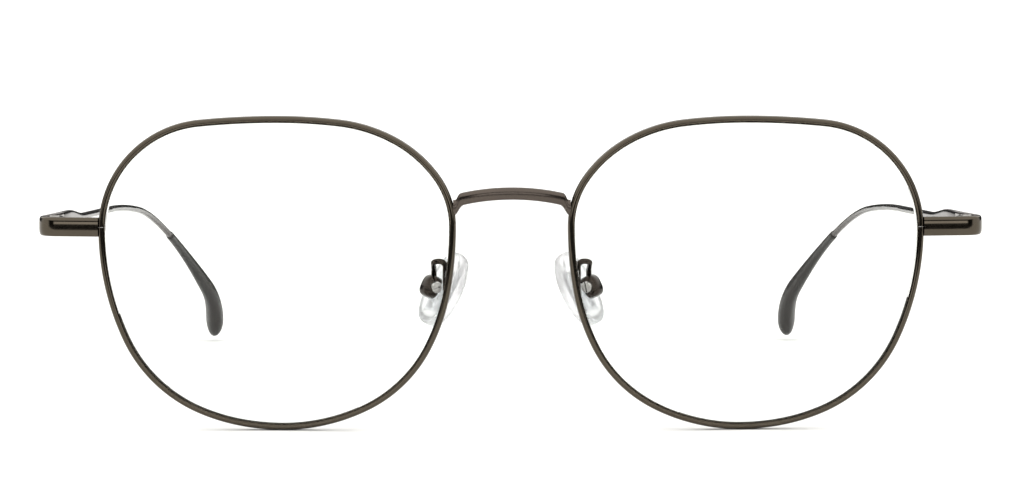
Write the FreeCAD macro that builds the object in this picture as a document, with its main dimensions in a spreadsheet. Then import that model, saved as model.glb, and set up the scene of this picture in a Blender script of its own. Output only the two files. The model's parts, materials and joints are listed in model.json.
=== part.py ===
import FreeCAD, Part

import math
import operator
import os

import Sketcher
from FreeCAD import Placement, Rotation, Vector

# Round wire eyeglasses, opened and standing on a level surface, in millimetres.
# +Z is up, the front faces -Y and the temples run back along +Y. The origin is on the surface,
# below the middle of the whole pair. The wearer's left side is +X, so "left_" pieces have side +1.
#
# The pieces are first placed with y = 0 on the plane of the rims' front at the nose, and the whole
# pair is centred on the origin at the end.

LEFT, RIGHT = 1, -1
SIDES = ((LEFT, "left_"), (RIGHT, "right_"))
X_AXIS, Y_AXIS, Z_AXIS = Vector(1, 0, 0), Vector(0, 1, 0), Vector(0, 0, 1)

# Every driving size, in millimetres or degrees. Each becomes one named cell of the sheet.
DRIVING_SIZES = {
    # the front
    "rim_width": 52.7,
    "rim_tall": 46.3,
    "rim_gap": 16.4,
    "rim_wrap": 3.0,
    "rim_band": 1.1,
    "rim_depth": 1.8,
    "rim_crown": 0.35,
    "rim_bevel": 0.15,
    "groove_depth": 0.5,
    "groove_half_mouth": 0.42,
    "split_gap": 0.25,
    # the lens
    "lens_thick": 1.8,
    "lens_front_radius": 175.0,
    "lens_clearance": 0.03,
    "lens_ahead": 0.9,
    # the bridge
    "bridge_share": 0.7565,
    "bridge_tall": 1.85,
    "bridge_deep": 1.35,
    "foot_long": 1.0,
    "bridge_rise": 0.86,
    "bridge_bow": 1.3,
    "bridge_ahead": 0.55,
    "foot_tall": 3.0,
    "foot_drop": 2.0,
    "foot_deep": 1.5,
    # the hinge and the endpiece
    "hinge_out": 6.62,
    "hinge_behind": 4.24,
    "hinge_share": 0.6456,
    "barrel_radius": 1.15,
    "barrel_clearance": 0.1,
    "knuckle_tall": 0.9,
    "knuckle_gap": 0.04,
    "pin_radius": 0.7,
    "pin_clearance": 0.025,
    "hinge_head_radius": 0.9,
    "hinge_head_tall": 0.45,
    "hinge_head_sunk": 0.35,
    "leaf_long": 7.6,
    "leaf_thick": 1.05,
    "web_wide": 1.5,
    "endpiece_tall": 2.85,
    "endpiece_thick": 1.1,
    "endpiece_slant": 8.0,
    "corner_radius": 2.6,
    "corner_straight": 0.2,
    "endpiece_crown": 0.4,
    # the lock that closes the rim
    "lock_wide": 2.6,
    "lock_deep": 1.8,
    "lock_tall": 1.15,
    "lock_screw_radius": 0.45,
    "lock_head_radius": 0.68,
    "lock_head_tall": 0.45,
    # the temples
    "strip_tall": 2.85,
    "strip_thick": 1.1,
    "strip_long": 20.5,
    "strip_round": 0.3,
    "taper_long": 13.5,
    "wire_radius": 0.53,
    "taper_end_side": 0.68,
    "temple_straight": 60.0,
    "ease_long": 25.0,
    "ease_radius": 275.0,
    "bend_radius": 63.0,
    "bend_turn": 47.1,
    "bend_tilt": 22.7,
    "temple_lean": 4.8,
    "tip_tail": 0.6,
    "tip_start": 106.8,
    "tip_start_thick": 1.3,
    "tip_start_broad": 1.45,
    "tip_thick": 3.1,
    "tip_broad": 5.0,
    "hook_long": 11.2,
    "hook_out": 3.35,
    "tip_end_high": 0.98,
    "core_radius": 0.4,
    "core_end_gap": 11.5,
    "tip_clearance": 0.02,
    # the nose pads
    "pad_outset": 2.55,
    "pad_back": 6.5,
    "pad_share": 0.45,
    "pad_frontal": 28.0,
    "pad_splay": 30.0,
    "pad_long": 11.6,
    "pad_wide": 7.6,
    "pad_thick": 2.6,
    "pad_soft_edge": 1.4,
    "pad_back_edge": 0.4,
    "pad_seat_low": 0.6,
    "insert_long": 6.4,
    "insert_wide": 3.6,
    "insert_thick": 0.9,
    "insert_skin": 0.5,
    "insert_clearance": 0.02,
    "tab_wide": 1.7,
    "tab_long": 1.85,
    "tab_side_gap": 0.1,
    "tab_swing_gap": 0.5,
    "tab_end_gap": 0.35,
    "box_gap": 0.4,
    "box_wall": 0.35,
    "box_side_wall": 0.55,
    "pad_pin_radius": 0.5,
    "pad_pin_clearance": 0.05,
    "pad_pin_in_box": 0.8,
    "pad_head_radius": 0.85,
    "pad_head_tall": 0.45,
    "arm_radius": 0.42,
    "arm_loop_radius": 0.85,
    "arm_loop_wide": 1.78,
    "arm_foot_low": 0.8,
    "arm_loop_high": 4.0,
    "arm_in_band": 0.6,
    "arm_elbow_high": 1.0,
    # shared
    "braze": 0.1,
    "driver_slot": 0.25,
}

# How far each joint turns, in degrees. The left temple is folded first and lies nearer the rims.
LEFT_FOLD_TURN = 81.0
RIGHT_FOLD_TURN = 78.0
PAD_ROCK_TURN = 8.0

# Sizes worked out in the sheet from others: where on the rim's height things are, and how far the
# middle of the lens's domed front stands ahead of its edge.
TIED_SIZES = {
    "bridge_high": "=rim_tall * bridge_share",
    "hinge_high": "=rim_tall * hinge_share",
    "pad_high": "=rim_tall * pad_share",
    "lens_sag": "=lens_front_radius - sqrt(lens_front_radius ^ 2 - (rim_width / 2) ^ 2)",
    "lens_set_back": "=lens_sag + lens_ahead",
}

# The rim's outer outline, from its lowest point and round by the temple side: how far across
# from nose to temple and how far up, as shares of the rim's width and height, and the direction
# of the outline there in degrees. Two tangent arcs join each point to the next.
OUTLINE = (
    (0.486, 0.000, 0.0),
    (0.721, 0.052, 23.0),
    (1.000, 0.635, 90.0),
    (0.909, 0.885, 135.0),
    (0.497, 1.000, 180.0),
    (0.163, 0.930, 209.0),
    (0.000, 0.650, 270.0),
    (0.070, 0.261, 297.0),
)

# Where the tip's sleeve is measured: its share of the sleeve's length, and the share of the full
# thickness and breadth there, counted from the size at its mouth.
TIP_SECTIONS = (
    (0.00, 0.00, 0.00),
    (0.20, 0.08, 0.09),
    (0.39, 0.27, 0.28),
    (0.56, 0.52, 0.53),
    (0.71, 0.76, 0.78),
    (0.82, 0.97, 0.96),
    (0.88, 1.00, 1.00),
    (0.94, 0.84, 0.90),
    (0.98, 0.45, 0.62),
    (1.00, 0.00, 0.25),
)

# The crown of the rim's front: a share of the band's width, and how far back as a share of the
# crown's depth.
CROWN_STEPS = ((1.0, 1.0), (0.8, 0.25), (0.5, 0.0), (0.2, 0.25), (0.0, 1.0))

# Faces and edges closer than this, in millimetres, count as being in one place, and an edge counts
# as long from this share of the length asked for.
NEARLY = 0.01
LONG_SHARE = 0.9
# The endpiece's long edges, in thicknesses, and how far ahead of its middle its front edges are.
LONG_EDGE = 1.2
AHEAD_SHARE = 0.4

doc = FreeCAD.newDocument("Eyeglasses")
sheet = doc.addObject("Spreadsheet::Sheet", "Sizes")
cells = {**DRIVING_SIZES, **TIED_SIZES}
for row, (alias, number) in enumerate(cells.items(), start=1):
    sheet.set("A%d" % row, alias)
    sheet.set("B%d" % row, str(number))
    sheet.setAlias("B%d" % row, alias)
doc.recompute()

NODES = {}


# ---------------------------------------------------------------- sizes that remember the sheet

SYMBOLS = {"+": operator.add, "-": operator.sub, "*": operator.mul, "/": operator.truediv}


class Size:
    """A number together with the expression over the sheet's cells that gives it."""

    def __init__(self, value, text):
        self.value = value
        self.text = text

    def combine(self, symbol, other):
        other = as_size(other)
        value = SYMBOLS[symbol](self.value, other.value)
        return Size(value, "(%s %s %s)" % (self.text, symbol, other.text))

    def __add__(self, other):
        return self.combine("+", other)

    def __sub__(self, other):
        return self.combine("-", other)

    def __mul__(self, other):
        return self.combine("*", other)

    def __truediv__(self, other):
        return self.combine("/", other)

    def __rmul__(self, other):
        return as_size(other) * self

    def __neg__(self):
        return Size(-self.value, "(-1 * %s)" % self.text)


def as_size(number):
    return number if isinstance(number, Size) else Size(float(number), repr(float(number)))


def size(name):
    return Size(float(sheet.get(name)), "Sizes." + name)


def mm(name):
    return float(sheet.get(name))


def bind(thing, prop, amount):
    """Give a property its value, and tie it to the sheet."""
    amount = as_size(amount)
    setattr(thing, prop, amount.value)
    thing.setExpression(prop, amount.text)


def turn_about(axis, degrees):
    return Rotation(axis, degrees)


# ---------------------------------------------------------------- sketches and features

PLANE_FRAMES = {
    "XY_Plane": Placement(),
    "XZ_Plane": Placement(Vector(), Rotation(X_AXIS, 90)),
    "YZ_Plane": Placement(Vector(), Rotation(X_AXIS, 90).multiply(Rotation(Y_AXIS, 90))),
}


def make_body(label):
    body = doc.addObject("PartDesign::Body", label)
    body.Label = label
    return body


def make_sketch(body, plane, name, shift=0.0, frame=None):
    """A sketch on a plane of the body's origin, moved along its normal or into a frame."""
    sketch = body.newObject("Sketcher::SketchObject", name)
    origin_planes = [item for item in body.Origin.OriginFeatures if item.Role == plane]
    sketch.AttachmentSupport = [(origin_planes[0], "")]
    sketch.MapMode = "FlatFace"
    if frame is not None:
        sketch.AttachmentOffset = PLANE_FRAMES[plane].inverse().multiply(frame)
    else:
        shift = as_size(shift)
        sketch.AttachmentOffset = Placement(Vector(0, 0, shift.value), Rotation())
        sketch.setExpression("AttachmentOffset.Base.z", shift.text)
    return sketch


def hold_point(sketch, edge, end, across, up):
    """Hold one end of an edge at a place measured from the sketch's origin."""
    for kind, amount in (("DistanceX", across), ("DistanceY", up)):
        amount = as_size(amount)
        index = sketch.addConstraint(Sketcher.Constraint(kind, -1, 1, edge, end, amount.value))
        sketch.setExpression("Constraints[%d]" % index, amount.text)


def draw_polygon(sketch, corners):
    """A closed run of straight edges whose corners are all tied to the sheet."""
    corners = [(as_size(across), as_size(up)) for across, up in corners]
    places = [Vector(across.value, up.value, 0) for across, up in corners]
    first = sketch.GeometryCount
    for index, place in enumerate(places):
        sketch.addGeometry(Part.LineSegment(place, places[(index + 1) % len(places)]))
    for index, (across, up) in enumerate(corners):
        before = first + (index - 1) % len(corners)
        sketch.addConstraint(Sketcher.Constraint("Coincident", before, 2, first + index, 1))
        hold_point(sketch, first + index, 1, across, up)


def draw_rectangle(sketch, wide, tall, across=0.0, up=0.0):
    wide, tall, across, up = (as_size(item) for item in (wide, tall, across, up))
    low_x, high_x = across - wide / 2, across + wide / 2
    low_y, high_y = up - tall / 2, up + tall / 2
    draw_polygon(sketch, [(low_x, low_y), (high_x, low_y), (high_x, high_y), (low_x, high_y)])


def draw_circle(sketch, radius, across=0.0, up=0.0):
    radius, across, up = as_size(radius), as_size(across), as_size(up)
    centre = Vector(across.value, up.value, 0)
    edge = sketch.addGeometry(Part.Circle(centre, Z_AXIS, radius.value))
    hold_point(sketch, edge, 3, across, up)
    index = sketch.addConstraint(Sketcher.Constraint("Radius", edge, radius.value))
    sketch.setExpression("Constraints[%d]" % index, radius.text)


def draw_ellipse(sketch, wide, tall, across=0.0, up=0.0):
    """An upright ellipse: tall has to be more than wide."""
    centre = Vector(across, up, 0)
    top = Vector(across, up + tall / 2, 0)
    side = Vector(across - wide / 2, up, 0)
    edge = sketch.addGeometry(Part.Ellipse(top, side, centre))
    sketch.addConstraint(Sketcher.Constraint("Block", edge))


def draw_fixed(sketch, curves):
    for curve in curves:
        edge = sketch.addGeometry(curve)
        sketch.addConstraint(Sketcher.Constraint("Block", edge))


def add_slab(body, sketch, thickness, kind="Pad"):
    """Pad or pocket a sketch by half the thickness each way."""
    slab = body.newObject("PartDesign::" + kind, kind + "_" + sketch.Name)
    slab.Profile = sketch
    slab.SideType = "Symmetric"
    bind(slab, "Length", thickness)
    before = body.Shape.Volume if kind == "Pocket" else 0.0
    doc.recompute()
    if kind == "Pocket" and not body.Shape.Volume < before:
        raise RuntimeError("%s cuts nothing" % slab.Name)
    return slab


def add_pipe(body, profile, spine, kind="AdditivePipe"):
    pipe = body.newObject("PartDesign::" + kind, kind + "_" + profile.Name)
    pipe.Profile = profile
    pipe.Spine = (spine, [])
    return pipe


def add_loft(body, sketches, ruled=True):
    loft = body.newObject("PartDesign::AdditiveLoft", "Loft_" + sketches[0].Name)
    loft.Profile = sketches[0]
    loft.Sections = sketches[1:]
    loft.Ruled = ruled
    return loft


def add_fillet(body, radius, chosen):
    """Round the edges of the body that the test chooses."""
    doc.recompute()
    edges = enumerate(body.Shape.Edges, start=1)
    names = ["Edge%d" % index for index, edge in edges if chosen(edge)]
    fillet = body.newObject("PartDesign::Fillet", "Fillet")
    fillet.Base = (body.Group[-2], names)
    bind(fillet, "Radius", radius)
    return fillet


def keep(node, thing, placement):
    """Name a finished sub-part and put it in its place."""
    thing.Label = node
    thing.Placement = placement
    NODES[node] = thing


# ---------------------------------------------------------------- the rim's outline

def two_arcs(start, start_way, finish, finish_way):
    """The two equal-legged tangent arcs from one point and direction to the next.

    Each is given as (centre, radius, first angle, last angle), turning anticlockwise.
    """
    chord = finish - start
    ways = start_way + finish_way
    spread = 2 * (1 - start_way.dot(finish_way))
    root = math.sqrt(chord.dot(ways) ** 2 + spread * chord.dot(chord))
    leg = (root - chord.dot(ways)) / spread
    middle = (start + finish + (start_way - finish_way) * leg) * 0.5
    arcs = []
    way = start_way
    for first, last in ((start, middle), (middle, finish)):
        inward = Vector(-way.y, way.x, 0)
        span = last - first
        radius = span.dot(span) / (2 * inward.dot(span))
        centre = first + inward * radius
        low = math.atan2(first.y - centre.y, first.x - centre.x)
        high = math.atan2(last.y - centre.y, last.x - centre.x)
        if high < low:
            high += 2 * math.pi
        arcs.append((centre, radius, low, high))
        way = Vector(-math.sin(high), math.cos(high), 0)
    return arcs


def rim_arcs():
    """The outline's arcs for the left rim, from its lowest point, in (across, up)."""
    places, ways = [], []
    for across, up, degrees in OUTLINE:
        places.append(Vector(across * mm("rim_width"), up * mm("rim_tall"), 0))
        angle = math.radians(degrees)
        ways.append(Vector(math.cos(angle), math.sin(angle), 0))
    arcs = []
    for index, place in enumerate(places):
        following = (index + 1) % len(places)
        arcs += two_arcs(place, ways[index], places[following], ways[following])
    return arcs


def rim_curves(side, inset=0.0):
    """The outline, moved inward by inset, as arcs in a sketch's own plane."""
    curves = []
    for centre, radius, low, high in rim_arcs():
        if side == RIGHT:
            centre = Vector(-centre.x, centre.y, 0)
            low, high = math.pi - high, math.pi - low
        circle = Part.Circle(centre, Z_AXIS, radius - inset)
        curves.append(Part.ArcOfCircle(circle, low, high))
    return curves


def outline_wire(side, inset, depth):
    """The same outline as a wire of the rim's upright plane, at a depth behind its front."""
    edges = [curve.toShape() for curve in rim_curves(side, inset)]
    wire = Part.Wire(Part.__sortEdges__(edges))
    wire.Placement = Placement(Vector(0, depth, 0), Rotation(X_AXIS, 90))
    return wire


def crossings_at(height):
    """Where across the rim its outline passes through a height."""
    found = []
    for centre, radius, low, high in rim_arcs():
        rise = (height - centre.y) / radius
        if abs(rise) > 1:
            continue
        for angle in (math.asin(rise), math.pi - math.asin(rise)):
            for whole_turn in (-2 * math.pi, 0.0, 2 * math.pi):
                if low <= angle + whole_turn <= high:
                    found.append(centre.x + radius * math.cos(angle))
    return found


def rim_edge_at(height):
    """How far across the outline's temple edge is at a height."""
    return max(crossings_at(height))


def nose_edge_at(height):
    """How far from the middle of the pair the rim's nose edge is at a height."""
    return mm("rim_gap") / 2 + min(crossings_at(height))


def rim_placement(side):
    """A rim's frame: its nose edge, turned back a little towards the temple."""
    turn = turn_about(Z_AXIS, side * mm("rim_wrap"))
    return Placement(Vector(side * mm("rim_gap") / 2, 0, 0), turn)


# ---------------------------------------------------------------- the front's pieces

def make_eyewire(side, prefix):
    body = make_body(prefix + "eyewire")
    spine = make_sketch(body, "XZ_Plane", prefix + "rim_path")
    draw_fixed(spine, rim_curves(side))
    lowest = side * OUTLINE[0][0] * size("rim_width")
    profile = make_sketch(body, "YZ_Plane", prefix + "rim_section", lowest)
    band, depth = size("rim_band"), size("rim_depth")
    crown, bevel = size("rim_crown"), size("rim_bevel")
    root, mouth = band - size("groove_depth"), size("groove_half_mouth")
    section = [
        (depth - bevel, 0.0),
        (depth, bevel),
        (depth, band - bevel),
        (depth - bevel, band),
        (depth / 2 + mouth, band),
        (depth / 2, root),
        (depth / 2 - mouth, band),
    ]
    section += [(crown * back, band * across) for across, back in CROWN_STEPS]
    draw_polygon(profile, section)
    doc.recompute()
    add_pipe(body, profile, spine)
    doc.recompute()
    split = make_sketch(body, "XZ_Plane", prefix + "rim_split", -depth / 2)
    edge = side * rim_edge_at(mm("hinge_high"))
    draw_rectangle(split, band * 4, size("split_gap"), edge, size("hinge_high"))
    add_slab(body, split, depth * 2, "Pocket")
    keep(prefix + "eyewire", body, rim_placement(side))


def lens_blank(side):
    """The lens's outline as a thick plate with the edge bevel that the groove holds."""
    middle = mm("rim_depth") / 2
    shoulder = mm("rim_band") + mm("lens_clearance")
    tip = shoulder - mm("groove_depth")
    half = mm("groove_half_mouth")
    reach = mm("lens_set_back") + mm("lens_thick")
    steps = [
        (shoulder, middle - reach),
        (shoulder, middle - half),
        (tip, middle),
        (shoulder, middle + half),
        (shoulder, middle + reach),
    ]
    rings = [outline_wire(side, inset, depth) for inset, depth in steps]
    return Part.makeLoft(rings, True, True)


def make_lens(side, prefix):
    blank = doc.addObject("Part::Feature", prefix + "lens_blank")
    blank.Shape = lens_blank(side)
    front = doc.addObject("Part::Sphere", prefix + "lens_front")
    bind(front, "Radius", size("lens_front_radius"))
    back = doc.addObject("Part::Sphere", prefix + "lens_back")
    bind(back, "Radius", size("lens_front_radius") - size("lens_thick"))
    apex = mm("rim_depth") / 2 - mm("lens_set_back")
    centre = Vector(side * mm("rim_width") / 2, apex + mm("lens_front_radius"), mm("rim_tall") / 2)
    for sphere in (front, back):
        sphere.Placement = Placement(centre, Rotation())
    solid = doc.addObject("Part::Common", prefix + "lens_solid")
    solid.Base = blank
    solid.Tool = front
    lens = doc.addObject("Part::Cut", prefix + "lens")
    lens.Base = solid
    lens.Tool = back
    keep(prefix + "lens", lens, rim_placement(side))


def bridge_axis():
    """The bridge is one arc in a plane that leans forward: its radius, lean and half angle."""
    reach = mm("rim_gap") / 2 - mm("foot_long")
    drop = math.hypot(mm("bridge_rise"), mm("bridge_bow"))
    radius = (reach ** 2 + drop ** 2) / (2 * drop)
    lean = math.atan2(mm("bridge_rise"), mm("bridge_bow"))
    half = math.asin(reach / radius)
    return radius, lean, half


def make_bridge():
    body = make_body("bridge")
    radius, lean, half = bridge_axis()
    section = make_sketch(body, "YZ_Plane", "bridge_section")
    draw_ellipse(section, mm("bridge_deep"), mm("bridge_tall"))
    centre = Vector(radius * math.cos(lean), -radius * math.sin(lean), 0)
    along = Vector(math.sin(lean), math.cos(lean), 0)
    axis = sketch_axis(section, centre, along)
    arch = body.newObject("PartDesign::Revolution", "bridge_arch")
    arch.Profile = section
    arch.ReferenceAxis = (section, [axis])
    arch.Angle = 2 * math.degrees(half)
    arch.Midplane = True
    doc.recompute()
    pivot = Vector(0, centre.x, centre.y)
    spin_axis = Vector(0, along.x, along.y)
    upright = PLANE_FRAMES["YZ_Plane"]
    for side, prefix in SIDES:
        turn = turn_about(spin_axis, side * math.degrees(half))
        end_frame = Placement(Vector(), turn, pivot).multiply(upright)
        end = make_sketch(body, "YZ_Plane", prefix + "arch_end", frame=end_frame)
        draw_ellipse(end, mm("bridge_deep"), mm("bridge_tall"))
        foot_high = mm("bridge_high") - mm("foot_drop")
        reach = side * (nose_edge_at(foot_high) + 2 * mm("braze"))
        back = mm("bridge_ahead") + mm("rim_depth") / 2
        foot_frame = Placement(Vector(reach, back, -mm("foot_drop")), upright.Rotation)
        foot = make_sketch(body, "YZ_Plane", prefix + "bridge_foot", frame=foot_frame)
        draw_ellipse(foot, mm("foot_deep"), mm("foot_tall"))
        add_loft(body, [end, foot])
        doc.recompute()
    place = Vector(0, -mm("bridge_ahead"), mm("bridge_high"))
    keep("bridge", body, Placement(place, Rotation()))


def sketch_axis(sketch, centre, along):
    """A construction line to turn a section about."""
    edge = sketch.addGeometry(Part.LineSegment(centre - along, centre + along), True)
    sketch.addConstraint(Sketcher.Constraint("Block", edge))
    return "Axis0"


def temple_edge():
    """The left rim's temple edge at the height of the hinge, on the plane of its front."""
    return rim_placement(LEFT).multVec(Vector(rim_edge_at(mm("hinge_high")), 0, mm("hinge_high")))


def hinge_frame(side):
    """The frame at the middle of a hinge's pin."""
    place = temple_edge() + Vector(mm("hinge_out"), mm("hinge_behind"), 0)
    return Placement(Vector(side * place.x, place.y, place.z), Rotation())


def strip_inner():
    """How far outside the pin's axis the inner faces of the strips are."""
    return mm("barrel_radius") + mm("barrel_clearance")


def corner_path():
    """The endpiece's centre line in the hinge's frame: its arc's centre, its direction out from
    the rim, and its rim end. It ends in a short straight behind the arc."""
    across = strip_inner() + mm("endpiece_thick") / 2 - mm("corner_radius")
    centre = Vector(across, -mm("corner_straight"), 0)
    slant = math.radians(mm("endpiece_slant"))
    along = Vector(math.cos(slant), math.sin(slant), 0)
    bend_start = centre + Vector(math.sin(slant), -math.cos(slant), 0) * mm("corner_radius")
    run = (bend_start.x + mm("hinge_out") + mm("braze")) / along.x
    return centre, along, bend_start - along * run


def make_endpiece(side, prefix):
    """A flat strip on edge: out from the rim, round the corner, and back to the hinge."""
    body = make_body(prefix + "endpiece")
    centre, along, rim_end = corner_path()
    across = Vector(-along.y, along.x, 0)
    low = math.atan2(-across.y, -across.x)
    curves = []
    ends = []
    for shift in (-0.5, 0.5):
        offset = across * (shift * mm("endpiece_thick"))
        radius = mm("corner_radius") - shift * mm("endpiece_thick")
        bend = centre + Vector(math.cos(low), math.sin(low), 0) * radius
        curves.append(Part.LineSegment(rim_end + offset, bend))
        curves.append(Part.ArcOfCircle(Part.Circle(centre, Z_AXIS, radius), low, 0.0))
        finish = Vector(centre.x + radius, 0, 0)
        curves.append(Part.LineSegment(Vector(centre.x + radius, centre.y, 0), finish))
        ends.append((rim_end + offset, finish))
    curves.append(Part.LineSegment(ends[0][0], ends[1][0]))
    curves.append(Part.LineSegment(ends[0][1], ends[1][1]))
    plan = make_sketch(body, "XY_Plane", prefix + "endpiece_plan")
    draw_fixed(plan, [mirror_curve(curve, side) for curve in curves])
    add_slab(body, plan, size("endpiece_tall"))

    def outer_long(edge):
        middle = edge.BoundBox.Center
        level = edge.BoundBox.ZLength < NEARLY
        outside = side * middle.x > strip_inner() + LONG_SHARE * mm("endpiece_thick")
        ahead = (middle - Vector(side * rim_end.x, rim_end.y, middle.z)).dot(
            Vector(side * across.x, across.y, 0)
        )
        long_edge = edge.Length > LONG_EDGE * mm("endpiece_thick") or middle.y > centre.y
        return level and long_edge and (outside or ahead < -AHEAD_SHARE * mm("endpiece_thick"))

    add_fillet(body, size("endpiece_crown"), outer_long)
    keep(prefix + "endpiece", body, hinge_frame(side))


def mirror_curve(curve, side):
    """The curve itself on the left, and its mirror image on the right."""
    if side == LEFT:
        return curve
    if isinstance(curve, Part.LineSegment):
        first, last = curve.StartPoint, curve.EndPoint
        return Part.LineSegment(Vector(-first.x, first.y, 0), Vector(-last.x, last.y, 0))
    centre = Vector(-curve.Center.x, curve.Center.y, 0)
    low, high = math.pi - curve.LastParameter, math.pi - curve.FirstParameter
    return Part.ArcOfCircle(Part.Circle(centre, Z_AXIS, curve.Radius), low, high)


def lock_frame(side):
    """The rim lock's frame, behind the endpiece's rim end and level with the split."""
    centre, along, rim_end = corner_path()
    across = Vector(-along.y, along.x, 0)
    place = rim_end + across * (mm("endpiece_thick") + mm("lock_deep")) * 0.5
    place = place + along * (mm("lock_wide") / 2 - mm("braze") / 2)
    turn = turn_about(Z_AXIS, side * mm("endpiece_slant"))
    local = Placement(Vector(side * place.x, place.y, 0), turn)
    return hinge_frame(side).multiply(local)


def make_rim_lock(side, prefix, name, level):
    """One half of the rim's closing block: level is +1 above the split and -1 below it. The upper
    one has the room that the screw's head is sunk in."""
    body = make_body(prefix + "rim_lock_" + name)
    middle = (size("split_gap") + size("lock_tall")) / 2 * level
    plan = make_sketch(body, "XY_Plane", prefix + name + "_lock_plan", middle)
    draw_rectangle(plan, size("lock_wide"), size("lock_deep"))
    add_slab(body, plan, size("lock_tall"))
    hole = make_sketch(body, "XY_Plane", prefix + name + "_lock_hole", middle)
    draw_circle(hole, size("lock_screw_radius") + size("pin_clearance"))
    add_slab(body, hole, size("lock_tall") * 2, "Pocket")
    if level > 0:
        top = size("split_gap") / 2 + size("lock_tall")
        room = make_sketch(body, "XY_Plane", prefix + name + "_head_room", top)
        draw_circle(room, size("lock_head_radius") + size("pin_clearance"))
        add_slab(body, room, size("lock_head_tall") * 2, "Pocket")
    keep(prefix + "rim_lock_" + name, body, lock_frame(side))


def make_screw(node, radius, low, high, head_radius, head_low, head_high, placement):
    """A slotted cheese-head screw along its own Z, with its head at the top."""
    body = make_body(node)
    shank = make_sketch(body, "XY_Plane", node + "_shank", (low + high) / 2)
    draw_circle(shank, radius)
    add_slab(body, shank, high - low)
    head = make_sketch(body, "XY_Plane", node + "_head", (head_low + head_high) / 2)
    draw_circle(head, head_radius)
    add_slab(body, head, head_high - head_low)
    slot = make_sketch(body, "XY_Plane", node + "_slot", head_high)
    draw_rectangle(slot, head_radius * 3, size("driver_slot"))
    add_slab(body, slot, head_high - head_low, "Pocket")
    keep(node, body, placement)


def make_rim_screw(side, prefix):
    top = size("split_gap") / 2 + size("lock_tall")
    head_low = top - size("lock_head_tall")
    make_screw(
        prefix + "rim_screw",
        size("lock_screw_radius"),
        -top,
        head_low + size("lock_head_tall") / 2,
        size("lock_head_radius"),
        head_low,
        top,
        lock_frame(side),
    )


def knuckle_levels():
    """The heights of the low and high faces of the front's upper knuckle."""
    low = size("knuckle_tall") / 2 + size("knuckle_gap")
    return low, low + size("knuckle_tall")


def cylinder(name, radius, tall, middle):
    """An upright cylinder about the pin's axis, centred on a height."""
    middle = as_size(middle)
    thing = doc.addObject("Part::Cylinder", name)
    bind(thing, "Radius", radius)
    bind(thing, "Height", tall)
    thing.setExpression("Placement.Base.z", (middle - as_size(tall) / 2).text)
    return thing


def block(name, wide, deep, tall, middle):
    """A box centred on a place given as three sizes."""
    thing = doc.addObject("Part::Box", name)
    amounts = [as_size(item) for item in (wide, deep, tall)]
    for prop, amount in zip(("Length", "Width", "Height"), amounts):
        bind(thing, prop, amount)
    for axis, place, amount in zip("xyz", middle, amounts):
        thing.setExpression("Placement.Base." + axis, (as_size(place) - amount / 2).text)
    return thing


def combine(name, kind, first, *others):
    """A boolean of several objects: Fuse joins them, Cut takes the others from the first."""
    if kind == "Fuse":
        joined = doc.addObject("Part::MultiFuse", name)
        joined.Shapes = [first] + list(others)
        return joined
    for index, tool in enumerate(others):
        cut = doc.addObject("Part::Cut", "%s_%d" % (name, index))
        cut.Base = first
        cut.Tool = tool
        first = cut
    return first


def make_front_leaf(side, prefix):
    """The front's half of the hinge: two knuckles and the web that is brazed in the corner."""
    name = prefix + "front_leaf"
    low, high = knuckle_levels()
    barrel = size("barrel_radius")
    clear = barrel + size("barrel_clearance") + size("knuckle_gap")
    solids = []
    for level in (1, -1):
        middle = (low + high) / 2 * level
        tag = name + ("_up" if level > 0 else "_down")
        solids.append(cylinder(tag + "_barrel", barrel, size("knuckle_tall"), middle))
        # the neck reaches from the barrel's nose side to halfway across its temple side
        place = (side * barrel / -4, clear / -2, middle)
        neck_wide = barrel * 3 / 2
        solids.append(block(tag + "_neck", neck_wide, clear, size("knuckle_tall"), place))
    inside = size("corner_radius") - size("endpiece_thick") / 2 + size("corner_straight")
    web_deep = inside + size("braze") * 2 - clear
    web_across = corner_path()[0].x - mm("braze")
    web_place = (side * web_across, -(clear + web_deep / 2), 0.0)
    solids.append(block(name + "_web", size("web_wide"), web_deep, high * 2, web_place))
    solid = combine(name + "_solid", "Fuse", *solids)
    hole = cylinder(name + "_hole", size("pin_radius") + size("pin_clearance"), high * 4, 0.0)
    sink_radius = size("hinge_head_radius") + size("pin_clearance")
    sink = cylinder(name + "_sink", sink_radius, size("hinge_head_sunk") * 2, high)
    leaf = combine(name, "Cut", solid, hole, sink)
    keep(prefix + "front_hinge_leaf", leaf, hinge_frame(side))


def make_hinge_screw(side, prefix):
    high = knuckle_levels()[1]
    head_low = high - size("hinge_head_sunk")
    make_screw(
        prefix + "hinge_screw",
        size("pin_radius"),
        -high,
        head_low + size("hinge_head_tall") / 2,
        size("hinge_head_radius"),
        head_low,
        head_low + size("hinge_head_tall"),
        hinge_frame(side),
    )


# ---------------------------------------------------------------- the temples

def lean_turn(side):
    return turn_about(Z_AXIS, side * mm("temple_lean"))


def temple_runs():
    """The temple's centre line as runs: where each starts and ends along it, and its radius, with
    None for a straight one."""
    bend_long = math.radians(mm("bend_turn")) * mm("bend_radius")
    lengths = (
        (mm("temple_straight"), None),
        (mm("ease_long"), mm("ease_radius")),
        (bend_long, mm("bend_radius")),
        (mm("tip_tail"), None),
    )
    runs = []
    start = 0.0
    for length, radius in lengths:
        runs.append((start, start + length, radius))
        start += length
    return runs


def temple_length():
    """The length of the temple's centre line, from the hinge to the end of the tip."""
    return temple_runs()[-1][1]


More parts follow.
